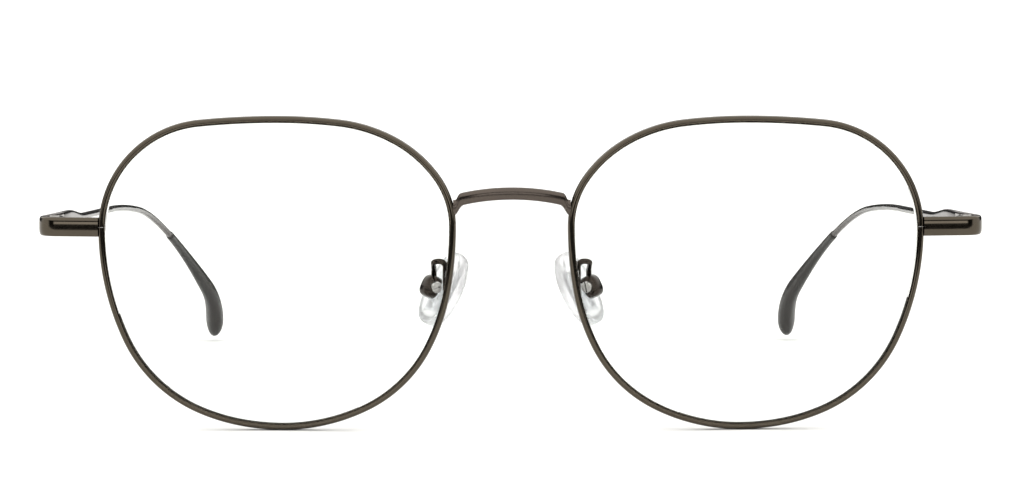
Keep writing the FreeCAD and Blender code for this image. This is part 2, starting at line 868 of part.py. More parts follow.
def temple_slope():
    """The slope, in degrees, that brings the tip's end down to its height above the surface."""
    end = point_on_temple(temple_length())[0]
    tilt = math.radians(mm("bend_tilt"))
    drop = -end.y * math.cos(tilt) + mm("hook_out") * math.sin(tilt)
    fall = mm("hinge_high") - mm("tip_end_high")
    total = math.asin(fall / math.hypot(end.x, drop))
    return math.degrees(total - math.atan2(drop, end.x))


def temple_frame(side):
    """The middle of the temple's front end, with +Y along the straight of the temple."""
    out = strip_inner() + mm("strip_thick") / 2
    start = lean_turn(side).multVec(Vector(side * out, mm("knuckle_gap"), 0))
    turn = lean_turn(side).multiply(turn_about(X_AXIS, -temple_slope()))
    return Placement(hinge_frame(side).Base + start, turn)


def bend_plane(side):
    """The frame of the plane that the temple bends in, with X along the temple and Y up."""
    tilt = turn_about(Y_AXIS, side * mm("bend_tilt"))
    return Placement(Vector(), tilt.multiply(PLANE_FRAMES["YZ_Plane"].Rotation))


def point_on_temple(along):
    """The centre line's place and direction in the plane of the bend."""
    place, angle = Vector(), 0.0
    for start, end, radius in temple_runs():
        length = min(along, end) - start
        if length <= 0:
            break
        if radius is None:
            place = place + Vector(math.cos(angle), -math.sin(angle), 0) * length
            continue
        after = angle + length / radius
        across = math.sin(after) - math.sin(angle)
        place = place + Vector(across, math.cos(after) - math.cos(angle), 0) * radius
        angle = after
    return place, Vector(math.cos(angle), -math.sin(angle), 0)


def hook_at(along):
    """How far outward the tip's end has turned from the bend's plane, and its angle there."""
    past = max(along - temple_length() + mm("hook_long"), 0.0) / mm("hook_long")
    out = mm("hook_out") * past ** 2
    return out, math.degrees(math.atan(2 * mm("hook_out") * past / mm("hook_long")))


def section_frame(side, along):
    """The plane square to the centre line, with its own X across the bend's plane."""
    place, way = point_on_temple(along)
    plane = bend_plane(side)
    angle = math.degrees(math.atan2(way.y, way.x))
    turn = turn_about(Z_AXIS, angle).multiply(turn_about(Y_AXIS, -90))
    return plane.multiply(Placement(place, turn))


def draw_temple_path(body, side, name, start, finish):
    """The centre line between two distances, as a sketch in the plane of the bend."""
    spine = make_sketch(body, "YZ_Plane", name, frame=bend_plane(side))
    curves = []
    for low, high, radius in temple_runs():
        low, high = max(low, start), min(high, finish)
        if high - low < NEARLY:
            continue
        first, last = point_on_temple(low)[0], point_on_temple(high)[0]
        if radius is None:
            curves.append(Part.LineSegment(first, last))
            continue
        way = point_on_temple(low)[1]
        centre = first + Vector(way.y, -way.x, 0) * radius
        angles = [math.atan2(end.y - centre.y, end.x - centre.x) for end in (last, first)]
        curves.append(Part.ArcOfCircle(Part.Circle(centre, Z_AXIS, radius), *angles))
    draw_fixed(spine, curves)
    return spine


def core_end():
    return temple_length() - mm("core_end_gap")


def make_temple(side, prefix):
    """A flat strip that tapers to a round wire, and a thinner core inside the tip."""
    body = make_body(prefix + "temple")
    strip = make_sketch(body, "XZ_Plane", prefix + "strip_section", -size("strip_long") / 2)
    draw_rectangle(strip, size("strip_thick"), size("strip_tall"))
    add_slab(body, strip, size("strip_long"))
    wide = make_sketch(body, "XZ_Plane", prefix + "taper_start", -size("strip_long"))
    draw_rectangle(wide, size("strip_thick"), size("strip_tall"))
    taper_end = size("strip_long") + size("taper_long")
    thin = make_sketch(body, "XZ_Plane", prefix + "taper_end", -taper_end)
    draw_rectangle(thin, size("taper_end_side"), size("taper_end_side"))
    add_loft(body, [wide, thin])

    def long_edge(edge):
        return edge.Length > mm("taper_long") * LONG_SHARE

    add_fillet(body, size("strip_round"), long_edge)
    doc.recompute()
    wires = (
        ("wire", mm("strip_long"), mm("tip_start"), size("wire_radius")),
        ("core", mm("tip_start"), core_end(), size("core_radius")),
    )
    for name, start, finish, radius in wires:
        spine = draw_temple_path(body, side, prefix + name + "_path", start, finish)
        frame = section_frame(side, start)
        section = make_sketch(body, "XZ_Plane", prefix + name + "_section", frame=frame)
        draw_circle(section, radius)
        add_pipe(body, section, spine)
        doc.recompute()
    keep(prefix + "temple", body, temple_frame(side))


def make_tip(side, prefix):
    """The sleeve on the temple's end: a round mouth that widens to a flat, rounded paddle."""
    body = make_body(prefix + "temple_tip")
    sleeve = temple_length() - mm("tip_start")
    mouth_thick, mouth_broad = mm("tip_start_thick"), mm("tip_start_broad")
    sections = []
    for index, (share, thick_share, broad_share) in enumerate(TIP_SECTIONS):
        along = mm("tip_start") + share * sleeve
        out, angle = hook_at(along)
        hook = Placement(Vector(side * out, 0, 0), turn_about(Y_AXIS, -side * angle))
        frame = section_frame(side, along).multiply(hook)
        sketch = make_sketch(body, "XZ_Plane", "%stip_%d" % (prefix, index), frame=frame)
        thick = mouth_thick + (mm("tip_thick") - mouth_thick) * thick_share
        broad = mouth_broad + (mm("tip_broad") - mouth_broad) * broad_share
        draw_ellipse(sketch, thick, broad)
        sections.append(sketch)
    add_loft(body, sections)
    doc.recompute()
    spine = draw_temple_path(body, side, prefix + "bore_path", mm("tip_start"), core_end())
    frame = section_frame(side, mm("tip_start"))
    bore = make_sketch(body, "XZ_Plane", prefix + "bore_section", frame=frame)
    draw_circle(bore, size("core_radius") + size("tip_clearance"))
    add_pipe(body, bore, spine, "SubtractivePipe")
    keep(prefix + "temple_tip", body, temple_frame(side))


def make_temple_leaf(side, prefix):
    """The temple's half of the hinge: one knuckle, its neck, and the plate on the strip."""
    name = prefix + "temple_leaf"
    high = knuckle_levels()[1]
    barrel = size("barrel_radius")
    inner = barrel + size("barrel_clearance") + size("braze") / 2
    plate_start = inner + size("barrel_clearance")
    knuckle = cylinder(name + "_barrel", barrel, size("knuckle_tall"), 0.0)
    plate_long, plate_thick = size("leaf_long"), size("leaf_thick")
    plate_place = (side * (inner - plate_thick / 2), plate_start + plate_long / 2, 0.0)
    plate_tall = high * 2 - size("strip_round") * 2
    plate = block(name + "_plate", plate_thick, plate_long, plate_tall, plate_place)
    neck_long = plate_start + size("strip_round")
    neck_place = (side * (inner - barrel / 2), neck_long / 2, 0.0)
    neck = block(name + "_neck", barrel, neck_long, size("knuckle_tall"), neck_place)
    solid = combine(name + "_solid", "Fuse", knuckle, plate, neck)
    hole = cylinder(name + "_hole", size("pin_radius") + size("pin_clearance"), high * 4, 0.0)
    leaf = combine(name, "Cut", solid, hole)
    keep(prefix + "temple_hinge_leaf", leaf, Placement(hinge_frame(side).Base, lean_turn(side)))


# ---------------------------------------------------------------- the nose pads

def pad_frame(side):
    """The middle of a pad's back: +Y is towards the back, +Z up the pad, and X away from the nose
    on the left pad."""
    turn = turn_about(Z_AXIS, -side * mm("pad_splay"))
    turn = turn.multiply(turn_about(Y_AXIS, -side * mm("pad_frontal")))
    across = mm("rim_gap") / 2 + mm("pad_outset")
    return Placement(Vector(side * across, mm("pad_back"), mm("pad_high")), turn)


def pad_pin_out():
    """How far behind the pad's back its screw is."""
    return size("box_gap") + size("pad_pin_in_box")


def box_sizes():
    """The pad box's depth, width and height, from the tab that swings in it."""
    deep = size("tab_long") - size("box_gap") + size("tab_end_gap") + size("box_wall")
    wide = size("tab_wide") + (size("tab_side_gap") + size("box_side_wall")) * 2
    tall = size("tab_wide") + (size("tab_swing_gap") + size("box_wall")) * 2
    return deep, wide, tall


def pad_pin_frame(side):
    """The pad screw's frame in the row: its own Z runs forward along the screw."""
    place = Vector(side * pad_pin_out().value, 0, -mm("pad_seat_low"))
    return pad_frame(side).multiply(Placement(place, turn_about(X_AXIS, 90)))


def make_nose_pad(side, prefix):
    """A soft oval pad, moulded round the insert."""
    body = make_body(prefix + "nose_pad")
    oval = make_sketch(body, "YZ_Plane", prefix + "pad_oval", -side * size("pad_thick") / 2)
    draw_ellipse(oval, mm("pad_wide"), mm("pad_long"))
    add_slab(body, oval, size("pad_thick"))
    nose_face = -side * mm("pad_thick")

    def nose_edge(edge):
        middle = edge.BoundBox.Center.x
        return abs(middle - nose_face) < NEARLY and edge.BoundBox.XLength < NEARLY

    def back_edge(edge):
        return abs(edge.BoundBox.Center.x) < NEARLY and edge.BoundBox.XLength < NEARLY

    add_fillet(body, size("pad_soft_edge"), nose_edge)
    add_fillet(body, size("pad_back_edge"), back_edge)
    gap = size("insert_clearance") * 2
    low = -size("pad_seat_low")
    middle = -side * (size("insert_skin") + size("insert_thick") / 2)
    plate = make_sketch(body, "YZ_Plane", prefix + "plate_room", middle)
    draw_rectangle(plate, size("insert_wide") + gap, size("insert_long") + gap, 0.0, low)
    add_slab(body, plate, size("insert_thick") + gap, "Pocket")
    stem = make_sketch(body, "YZ_Plane", prefix + "stem_room")
    draw_rectangle(stem, size("tab_wide") + gap, size("tab_wide") + gap, 0.0, low)
    add_slab(body, stem, size("insert_skin") * 2 + gap, "Pocket")
    keep(prefix + "nose_pad", body, pad_frame(side))


def make_pad_core(side, prefix):
    """The stiff insert: a plate inside the pad, and the tab that the screw holds."""
    name = prefix + "insert"
    low = -size("pad_seat_low")
    plate_middle = -side * (size("insert_skin") + size("insert_thick") / 2)
    place = (plate_middle, 0.0, low)
    plate = block(
        name + "_plate", size("insert_thick"), size("insert_wide"), size("insert_long"), place
    )
    stem_long = size("insert_skin") + size("tab_long")
    stem_middle = side * (size("tab_long") - size("insert_skin")) / 2
    place = (stem_middle, 0.0, low)
    stem = block(name + "_tab", stem_long, size("tab_wide"), size("tab_wide"), place)
    solid = combine(name + "_solid", "Fuse", plate, stem)
    hole = doc.addObject("Part::Cylinder", name + "_hole")
    bind(hole, "Radius", size("pad_pin_radius") + size("pad_pin_clearance"))
    bind(hole, "Height", size("tab_wide") * 2)
    hole_start = Vector(side * pad_pin_out().value, mm("tab_wide"), -mm("pad_seat_low"))
    hole.Placement = Placement(hole_start, turn_about(X_AXIS, 90))
    core = combine(name, "Cut", solid, hole)
    keep(prefix + "pad_core", core, pad_frame(side))


def make_pad_box(side, prefix):
    """The small open box on the arm's end, with the screw's hole across it."""
    body = make_body(prefix + "pad_box")
    low = -size("pad_seat_low")
    deep, wide, tall = box_sizes()
    outer_middle = side * (size("box_gap") + deep / 2)
    outer = make_sketch(body, "YZ_Plane", prefix + "box_outer", outer_middle)
    draw_rectangle(outer, wide, tall, 0.0, low)
    add_slab(body, outer, deep)
    room_wide = wide - size("box_side_wall") * 2
    room_tall = tall - size("box_wall") * 2
    room_deep = deep - size("box_wall")
    room = make_sketch(body, "YZ_Plane", prefix + "box_room", side * size("box_gap"))
    draw_rectangle(room, room_wide, room_tall, 0.0, low)
    add_slab(body, room, room_deep * 2, "Pocket")
    hole = make_sketch(body, "XZ_Plane", prefix + "box_hole")
    radius = size("pad_pin_radius") + size("pin_clearance")
    draw_circle(hole, radius, side * pad_pin_out(), low)
    add_slab(body, hole, wide * 2, "Pocket")
    keep(prefix + "pad_box", body, pad_frame(side))


def make_pad_screw(side, prefix):
    half = box_sizes()[1] / 2
    make_screw(
        prefix + "pad_screw",
        size("pad_pin_radius"),
        -half,
        half + size("pad_head_tall") / 2,
        size("pad_head_radius"),
        half,
        half + size("pad_head_tall"),
        pad_pin_frame(side),
    )


def arm_corners(side):
    """The corners of the arm's wire: on the rim's back, up its loop, over, down and into the box."""
    rim_back = mm("rim_depth") + mm("arm_radius") - mm("braze")
    foot_high = mm("pad_high") - mm("arm_foot_low")
    loop_high = mm("pad_high") + mm("arm_loop_high")
    foot_across = nose_edge_at(foot_high) + mm("arm_in_band")
    loop_across = foot_across + mm("arm_loop_wide")
    box_deep, _, box_tall = (amount.value for amount in box_sizes())
    box_top = Vector(side * (mm("box_gap") + box_deep / 2), 0, box_tall / 2 - mm("pad_seat_low"))
    socket = pad_frame(side).multVec(box_top - Z_AXIS * mm("braze"))
    elbow = socket + Vector(0, -mm("arm_radius"), mm("arm_elbow_high"))
    return [
        Vector(side * foot_across, rim_back, foot_high),
        Vector(side * foot_across, rim_back + 3 * mm("arm_radius") / 2, loop_high),
        Vector(side * loop_across, rim_back + 2 * mm("arm_radius"), loop_high),
        elbow,
        socket,
    ]


def rounded_path(corners, radius):
    """Straight runs between the corners, joined by tangent arcs."""
    edges = []
    start = corners[0]
    for before, corner, after in zip(corners, corners[1:], corners[2:]):
        way_in = (corner - before).normalize()
        way_out = (after - corner).normalize()
        half_turn = way_in.getAngle(way_out) / 2
        leg = radius * math.tan(half_turn)
        first, last = corner - way_in * leg, corner + way_out * leg
        inward = (way_out - way_in).normalize()
        middle = corner + inward * (radius / math.cos(half_turn) - radius)
        edges.append(Part.LineSegment(start, first).toShape())
        edges.append(Part.Arc(first, middle, last).toShape())
        start = last
    edges.append(Part.LineSegment(start, corners[-1]).toShape())
    return Part.Wire(edges)


def make_pad_arm(side, prefix):
    """The bent wire that carries a pad."""
    corners = arm_corners(side)
    path = rounded_path(corners, mm("arm_loop_radius"))
    circle = Part.Circle(corners[0], corners[1] - corners[0], mm("arm_radius"))
    section = Part.Wire([circle.toShape()])
    arm = doc.addObject("Part::Feature", prefix + "pad_arm")
    arm.Shape = path.makePipeShell([section], True, True)
    keep(prefix + "pad_arm", arm, Placement())


# ---------------------------------------------------------------- the whole pair

def make_all():
    make_bridge()
    for side, prefix in SIDES:
        make_eyewire(side, prefix)
        make_lens(side, prefix)
        make_endpiece(side, prefix)
        make_rim_lock(side, prefix, "upper", 1)
        make_rim_lock(side, prefix, "lower", -1)
        make_rim_screw(side, prefix)
        make_front_leaf(side, prefix)
        make_hinge_screw(side, prefix)
        make_pad_arm(side, prefix)
        make_pad_box(side, prefix)
        make_pad_screw(side, prefix)
        make_nose_pad(side, prefix)
        make_pad_core(side, prefix)
        make_temple_leaf(side, prefix)
        make_temple(side, prefix)
        make_tip(side, prefix)
    doc.recompute()


def check_all():
    """Stop on anything that failed to build."""
    for thing in doc.Objects:
        if "Invalid" in thing.State or "Error" in thing.State:
            raise RuntimeError("%s failed: %s" % (thing.Label, thing.State))
    for node, thing in NODES.items():
        if thing.Shape.isNull() or not thing.Shape.isValid():
            raise RuntimeError("%s has no valid shape" % node)


def centre_depth():
    """How far the pair moves along Y to be centred on the origin."""
    low, high = 0.0, 0.0
    for thing in NODES.values():
        box = thing.Shape.optimalBoundingBox(False)
        low, high = min(low, box.YMin), max(high, box.YMax)
    return -(low + high) / 2


def write_all(shift):
    os.makedirs("parts", exist_ok=True)
    for node, thing in NODES.items():
        place = thing.Placement
        thing.Placement = Placement(place.Base + Vector(0, shift, 0), place.Rotation)
        thing.Shape.exportStep("parts/%s.step" % node)
        box = thing.Shape.BoundBox
        print("%-24s %9.3f mm3  z %6.2f to %6.2f" % (node, thing.Shape.Volume, box.ZMin, box.ZMax))


make_all()
check_all()
SHIFT = centre_depth()
write_all(SHIFT)
print("nodes %d, moved back by %.3f mm, temple slope %.2f" % (len(NODES), SHIFT, temple_slope()))
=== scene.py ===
# %% [markdown]
# # Round wire eyeglasses
# A pair of metal glasses, opened and standing on a table: two thin rims, a slim bridge, clear
# lenses, silicone nose pads on bent wires, and temples that run from a flat strip into a wire.
# The shapes that move and fit come from CAD. This lesson gives every piece its finished form and
# its finish, round that same frame.

# %% Load the frame
import json
import math

import bmesh
import bpy
from mathutils import Matrix, Vector


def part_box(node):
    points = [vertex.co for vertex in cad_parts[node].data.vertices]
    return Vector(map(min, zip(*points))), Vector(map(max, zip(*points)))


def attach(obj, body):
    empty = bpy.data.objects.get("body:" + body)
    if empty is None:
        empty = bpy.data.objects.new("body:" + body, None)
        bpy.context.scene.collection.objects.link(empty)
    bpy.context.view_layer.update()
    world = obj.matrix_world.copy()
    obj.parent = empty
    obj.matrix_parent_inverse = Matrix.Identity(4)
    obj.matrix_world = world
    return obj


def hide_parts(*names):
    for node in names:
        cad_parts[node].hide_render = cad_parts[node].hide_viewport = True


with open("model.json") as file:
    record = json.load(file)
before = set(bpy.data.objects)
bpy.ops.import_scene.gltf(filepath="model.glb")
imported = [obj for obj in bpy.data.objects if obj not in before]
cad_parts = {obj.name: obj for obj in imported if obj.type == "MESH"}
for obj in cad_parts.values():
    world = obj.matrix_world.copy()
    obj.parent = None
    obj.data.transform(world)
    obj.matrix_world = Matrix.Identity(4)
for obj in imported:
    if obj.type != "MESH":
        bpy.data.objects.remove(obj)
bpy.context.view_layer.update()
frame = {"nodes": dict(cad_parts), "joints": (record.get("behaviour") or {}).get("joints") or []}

# %% [markdown]
# Sizes are written in millimetres, as a maker would give them, and turned to metres once, by the
# matrix that puts a finished mesh in its place. The left side of the wearer is +X.

# %% Units, sides and directions
MM = 0.001
SIDES = ((1, "left"), (-1, "right"))
X_AXIS, Y_AXIS, Z_AXIS = Vector((1, 0, 0)), Vector((0, 1, 0)), Vector((0, 0, 1))

# millimetres to metres, as a matrix
to_metres = Matrix.Scale(MM, 4)


def turn(axis, degrees):
    return Matrix.Rotation(math.radians(degrees), 4, axis)


def shift(x, y, z):
    return Matrix.Translation((x, y, z))


# the plane of the rims' front at the nose, and the hinge pins, all in millimetres
front_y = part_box("left_eyewire")[0].y / MM
joint_place = {joint["name"]: Vector(joint["pos_m"]) / MM for joint in frame["joints"]}
print("rim front at y = %.2f mm" % front_y)

# %% [markdown]
# ## Finishes
# Each finish starts from the real material: what it is called, how its surface was made, and what
# that does to the light. A colour is written as the hex value that a painter would pick, and one
# function turns it to the linear numbers that the shader works with. One small function adds a
# node, so that a material reads as a list of its parts.

# %% Two small helpers for materials
def from_hex(code):
    """A colour's sRGB hex value, such as 8a8378, as linear red, green, blue and alpha."""
    channels = [int(code[i:i + 2], 16) / 255 for i in (0, 2, 4)]
    linear = [c / 12.92 if c <= 0.04045 else ((c + 0.055) / 1.055) ** 2.4 for c in channels]
    return (*linear, 1.0)


def add_node(tree, kind, inputs=None, **settings):
    """Add a node, with its settings, and with a value or a link for each of its inputs."""
    node = tree.nodes.new(kind)
    for name, setting in settings.items():
        setattr(node, name, setting)
    for name, value in (inputs or {}).items():
        if isinstance(value, bpy.types.NodeSocket):
            tree.links.new(value, node.inputs[name])
        else:
            node.inputs[name].default_value = value
    return node


def new_material(name, **constants):
    """A material with one Principled shader, whose constants sit on its own sockets."""
    material = bpy.data.materials.new(name)
    material.use_nodes = True
    material.node_tree.nodes.clear()
    shader = add_node(material.node_tree, "ShaderNodeBsdfPrincipled")
    for socket, value in constants.items():
        shader.inputs[socket.replace("_", " ")].default_value = value
    output = add_node(material.node_tree, "ShaderNodeOutputMaterial")
    material.node_tree.links.new(shader.outputs["BSDF"], output.inputs["Surface"])
    return material, shader


def per_mm(millimetres):
    """The scale of a noise, on coordinates in metres, whose features are this far apart."""
    return 1 / (millimetres * MM)


# %% [markdown]
# The metal is nickel silver, drawn, bent and brazed, then plated with gunmetal: a dark, slightly
# warm nickel alloy. Polished plate gives a near mirror that is dark where the room is dark and
# cream where a lamp stands. Real plate is never quite even, so its gloss drifts a little, over a
# few millimetres. The rims and corners are polished, the bridge and hinges are satin, and the temples
# keep the soft shine of drawn wire. The small parts round the pads have the same plate made darker:
# that darkness is painted shade, for the shade they sit in behind the pads and lenses.

# %% Gunmetal plate
def uneven_finish(name, light, dark, smoothest, roughest, cloud=(7, 3.0), grain=(1.5, 2.0), **constants):
    """A colour that drifts over a cloud and a gloss that drifts over a grain, in mm and detail."""
    material, shader = new_material(name, **constants)
    tree = material.node_tree
    where = add_node(tree, "ShaderNodeTexCoord").outputs["Object"]
    drift, fine = [
        add_node(tree, "ShaderNodeTexNoise", {"Vector": where, "Scale": per_mm(apart), "Detail": detail})
        for apart, detail in (cloud, grain)
    ]
    shade = add_node(tree, "ShaderNodeMix", {
        0: drift.outputs[0], 6: from_hex(dark), 7: from_hex(light),
    }, data_type="RGBA")
    gloss = add_node(tree, "ShaderNodeMapRange", {
        "Value": fine.outputs[0], "To Min": smoothest, "To Max": roughest,
    })
    tree.links.new(shade.outputs[2], shader.inputs["Base Color"])
    tree.links.new(gloss.outputs[0], shader.inputs["Roughness"])
    return material


def gunmetal_plate(name, *drift):
    return uneven_finish("gunmetal_plate_" + name, *drift, Metallic=1.0)


polished_gunmetal = gunmetal_plate("polished", "534d44", "484239", 0.07, 0.11)
satin_gunmetal = gunmetal_plate("satin", "59514b", "4a443f", 0.17, 0.24)
drawn_gunmetal = gunmetal_plate("on_drawn_wire", "575250", "4b4746", 0.16, 0.22)
# the same plate made darker for the pad arms and cups: the darkness is painted shade, not a different plate
shade_painted_gunmetal = gunmetal_plate("with_painted_shade_on_pad_parts", "3a342f", "302b27", 0.06, 0.10)
for metal in (polished_gunmetal, satin_gunmetal, drawn_gunmetal, shade_painted_gunmetal):
    print("metal:", metal.name)

# %% [markdown]
# The screws are stainless steel, turned on a small lathe and left bright. The lenses are cast
# optical resin, polished and coated against reflections. The pads are moulded clear silicone over
# an insert of clear polycarbonate: silicone bends light less, and its skin is a little hazy. The
# tips are acetate, dark gray-brown, tumbled to a soft shine.

# %% Steel, resin, silicone, polycarbonate and acetate
turned_steel = new_material(
    "stainless_steel_turned", Metallic=1.0, Roughness=0.22, Base_Color=from_hex("a8a6a3"))[0]

# bare resin has an index of 1.5; its anti-reflection coat is drawn here as a much lower index, which
# throws back less light, and so thin a lens hardly shows it in any other way
cast_resin = new_material(
    "optical_resin_coated", Roughness=0.0, IOR=1.1, Base_Color=from_hex("fdfffe"),
    Transmission_Weight=1.0)[0]
clear_silicone = new_material(
    "silicone_moulded", Roughness=0.28, IOR=1.41, Base_Color=from_hex("fbfcfd"),
    Transmission_Weight=0.86)[0]
clear_insert = new_material(
    "polycarbonate_moulded", Roughness=0.08, IOR=1.585, Base_Color=from_hex("f2f4f6"),
    Transmission_Weight=0.95)[0]
soft_acetate = uneven_finish(
    "acetate_tumbled", "292624", "1f1d1b", 0.30, 0.42, cloud=(9, 2.0), grain=(9, 2.0),
    IOR=1.48, Specular_IOR_Level=0.35)
print("other finishes:", turned_steel.name, cast_resin.name, clear_silicone.name, soft_acetate.name)

# %% [markdown]
# ## The rims
# A rim is one length of wire, rolled with a crowned front and a groove inside for the lens, and
# bent to a flat-topped, round-bottomed outline. It could be modelled point by point, but it
# follows two rules: the outline, and the section. So the outline is written as eight places with
# the direction that the wire has there, joined by pairs of tangent arcs, and the section is swept
# along it by a tree of Geometry Nodes.

# %% The outline's rule
RIM_WIDE, RIM_TALL, RIM_GAP, RIM_WRAP = 52.7, 46.3, 16.4, 3.0
RIM_BAND, RIM_DEEP, RIM_ROUNDNESS = 1.1, 1.8, 0.78

# how far two brazed pieces run into each other
BRAZE = 0.1

# how far across from nose to temple, how far up, and the direction there, in degrees
OUTLINE = (
    (0.486, 0.000, 0.0),
    (0.721, 0.052, 23.0),
    (1.000, 0.635, 90.0),
    (0.909, 0.885, 135.0),
    (0.497, 1.000, 180.0),
    (0.163, 0.930, 209.0),
    (0.000, 0.650, 270.0),
    (0.070, 0.261, 297.0),
)


def two_arcs(start, start_way, finish, finish_way):
    """Two arcs that leave start and reach finish in the given directions, as (centre, radius,
    first angle, last angle)."""
    chord = finish - start
    ways = start_way + finish_way
    spread = 4 - ways.dot(ways)
    leg = (math.sqrt(chord.dot(ways) ** 2 + spread * chord.dot(chord)) - chord.dot(ways)) / spread
    middle = (start + finish + (start_way - finish_way) * leg) * 0.5
    arcs = []
    way = start_way
    for first, last in ((start, middle), (middle, finish)):
        inward = Vector((-way.y, way.x))
        span = last - first
        radius = span.dot(span) / (2 * inward.dot(span))
        centre = first + inward * radius
        low = math.atan2(first.y - centre.y, first.x - centre.x)
        high = math.atan2(last.y - centre.y, last.x - centre.x)
        if high < low:
            high += 2 * math.pi
        arcs.append((centre, radius, low, high))
        way = Vector((-math.sin(high), math.cos(high)))
    return arcs


def outline_points(inset, step=0.5):
    """The left rim's outline, moved inward by inset, as points from its lowest one."""
    places = [Vector((across * RIM_WIDE, up * RIM_TALL)) for across, up, _ in OUTLINE]
    ways = [Vector((math.cos(a), math.sin(a))) for a in (math.radians(item[2]) for item in OUTLINE)]
    points = []
    for index, place in enumerate(places):
        following = (index + 1) % len(places)
        for centre, radius, low, high in two_arcs(place, ways[index], places[following], ways[following]):
            count = max(2, math.ceil(radius * (high - low) / step))
            for n in range(count):
                angle = low + (high - low) * n / count
                points.append(centre + Vector((math.cos(angle), math.sin(angle))) * (radius - inset))
    return points


outline = outline_points(0)
around = sum((b - a).length for a, b in zip(outline, outline[1:] + outline[:1]))
print("rim outline: %d points, %.1f mm round" % (len(outline), around))

# %% [markdown]
# The tree bends a circle into the section. Each of the circle's points has a cosine and a sine;
# a power of them squares the circle off, and a small tent of numbers pulls the inner side in, which
# makes the groove. The sweep keeps the section level with the path's own plane. The same tree makes
# the corner strips and the pad wires, with other numbers.

# %% A tree that sweeps a section along a path
def section_tree():
    tree = bpy.data.node_groups.new("section_along_a_path", "GeometryNodeTree")
    face = tree.interface
    face.new_socket("Path", in_out="INPUT", socket_type="NodeSocketGeometry")
    for name in ("Across", "Deep", "Roundness", "Groove", "Groove Mouth"):
        face.new_socket(name, in_out="INPUT", socket_type="NodeSocketFloat")
    face.new_socket("Points Around", in_out="INPUT", socket_type="NodeSocketInt")
    face.new_socket("Finish", in_out="INPUT", socket_type="NodeSocketMaterial")
    face.new_socket("Mesh", in_out="OUTPUT", socket_type="NodeSocketGeometry")
    given = add_node(tree, "NodeGroupInput").outputs

    def sum_of(operation, *values):
        numbers = dict(enumerate(values))
        return add_node(tree, "ShaderNodeMath", numbers, operation=operation).outputs[0]

    circle = add_node(tree, "GeometryNodeCurvePrimitiveCircle", {"Resolution": given["Points Around"]})
    circle.inputs["Radius"].default_value = 1.0
    here = add_node(tree, "GeometryNodeInputPosition").outputs[0]
    parts = add_node(tree, "ShaderNodeSeparateXYZ", {0: here}).outputs
    squared = []
    for part, size in ((parts[0], given["Across"]), (parts[1], given["Deep"])):
        power = sum_of("POWER", sum_of("ABSOLUTE", part), given["Roundness"])
        half = sum_of("MULTIPLY", sum_of("MULTIPLY", power, sum_of("SIGN", part)), size)
        squared.append(sum_of("MULTIPLY", half, 0.5))
    from_middle = sum_of("DIVIDE", sum_of("ABSOLUTE", squared[1]), given["Groove Mouth"])
    tent = sum_of("MAXIMUM", sum_of("SUBTRACT", 1.0, from_middle), 0.0)
    inner_side = sum_of("LESS_THAN", parts[0], 0.0)
    pull = sum_of("MULTIPLY", sum_of("MULTIPLY", tent, inner_side), given["Groove"])
    grooved = sum_of("ADD", squared[0], pull)
    moved = add_node(tree, "ShaderNodeCombineXYZ", {0: grooved, 1: squared[1]}).outputs[0]
    section = add_node(
        tree, "GeometryNodeSetPosition", {"Geometry": circle.outputs[0], "Position": moved}
    )
    path = add_node(tree, "GeometryNodeMeshToCurve", {0: given["Path"]})
    level = add_node(tree, "GeometryNodeSetCurveNormal", {"Curve": path.outputs[0]}, mode="Z_UP")
    swept = add_node(
        tree,
        "GeometryNodeCurveToMesh",
        {"Curve": level.outputs[0], "Profile Curve": section.outputs[0], "Fill Caps": True},
    )
    real = add_node(tree, "GeometryNodeRealizeInstances", {0: swept.outputs[0]})
    finished = add_node(
        tree, "GeometryNodeSetMaterial", {"Geometry": real.outputs[0], "Material": given["Finish"]}
    )
    add_node(tree, "NodeGroupOutput", {0: finished.outputs[0]})
    return tree


sweep = section_tree()
print("tree:", sweep.name, "with", len(sweep.nodes), "nodes")


# %% Growing a tree's mesh, and adding a piece
def grow(name, tree, points, values, closed=False, turns=None):
    """The plain mesh that a tree grows on a run of points."""
    edges = [(n, n + 1) for n in range(len(points) - 1)] if turns is None else []
    if closed:
        edges.append((len(points) - 1, 0))
    path = bpy.data.meshes.new(name + "_path")
    path.from_pydata(points, edges, [])
    if turns is not None:
        path.attributes.new("turn", "FLOAT_VECTOR", "POINT")
        for item, way in zip(path.attributes["turn"].data, turns):
            item.vector = way
    holder = bpy.data.objects.new(name + "_holder", path)
    bpy.context.scene.collection.objects.link(holder)
    modifier = holder.modifiers.new("tree", "NODES")
    modifier.node_group = tree
    for item in tree.interface.items_tree:
        if item.item_type == "SOCKET" and item.in_out == "INPUT" and item.name in values:
            modifier[item.identifier] = values[item.name]
    graph = bpy.context.evaluated_depsgraph_get()
    mesh = bpy.data.meshes.new_from_object(holder.evaluated_get(graph))
    holder.modifiers.clear()
    bpy.data.objects.remove(holder)
    bpy.data.meshes.remove(path)
    return mesh


def add_piece(name, mesh, place, body, nodes, crease=35, finish=None):
    """Put a finished mesh in its place, with its object at the origin, in place of CAD nodes."""
    mesh.transform(place)
    if finish is not None:
        mesh.materials.clear()
        mesh.materials.append(finish)
    shape = bmesh.new()
    shape.from_mesh(mesh)
    bmesh.ops.remove_doubles(shape, verts=shape.verts, dist=1e-7)
    bmesh.ops.recalc_face_normals(shape, faces=shape.faces)
    shape.to_mesh(mesh)
    shape.free()
    mesh.polygons.foreach_set("use_smooth", [True] * len(mesh.polygons))
    mesh.set_sharp_from_angle(angle=math.radians(crease))
    mesh.name = name
    piece = bpy.data.objects.new(name, mesh)
    bpy.context.scene.collection.objects.link(piece)
    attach(piece, body)
    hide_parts(*nodes)
    print("%-26s %6d faces, on %s" % (name, len(mesh.polygons), body))
    return piece


# %% [markdown]
# The rim is cut through on the temple side, where two small blocks and a screw close it on the
# lens. The path is drawn flat, opened at the cut, and the finished wire is stood upright.

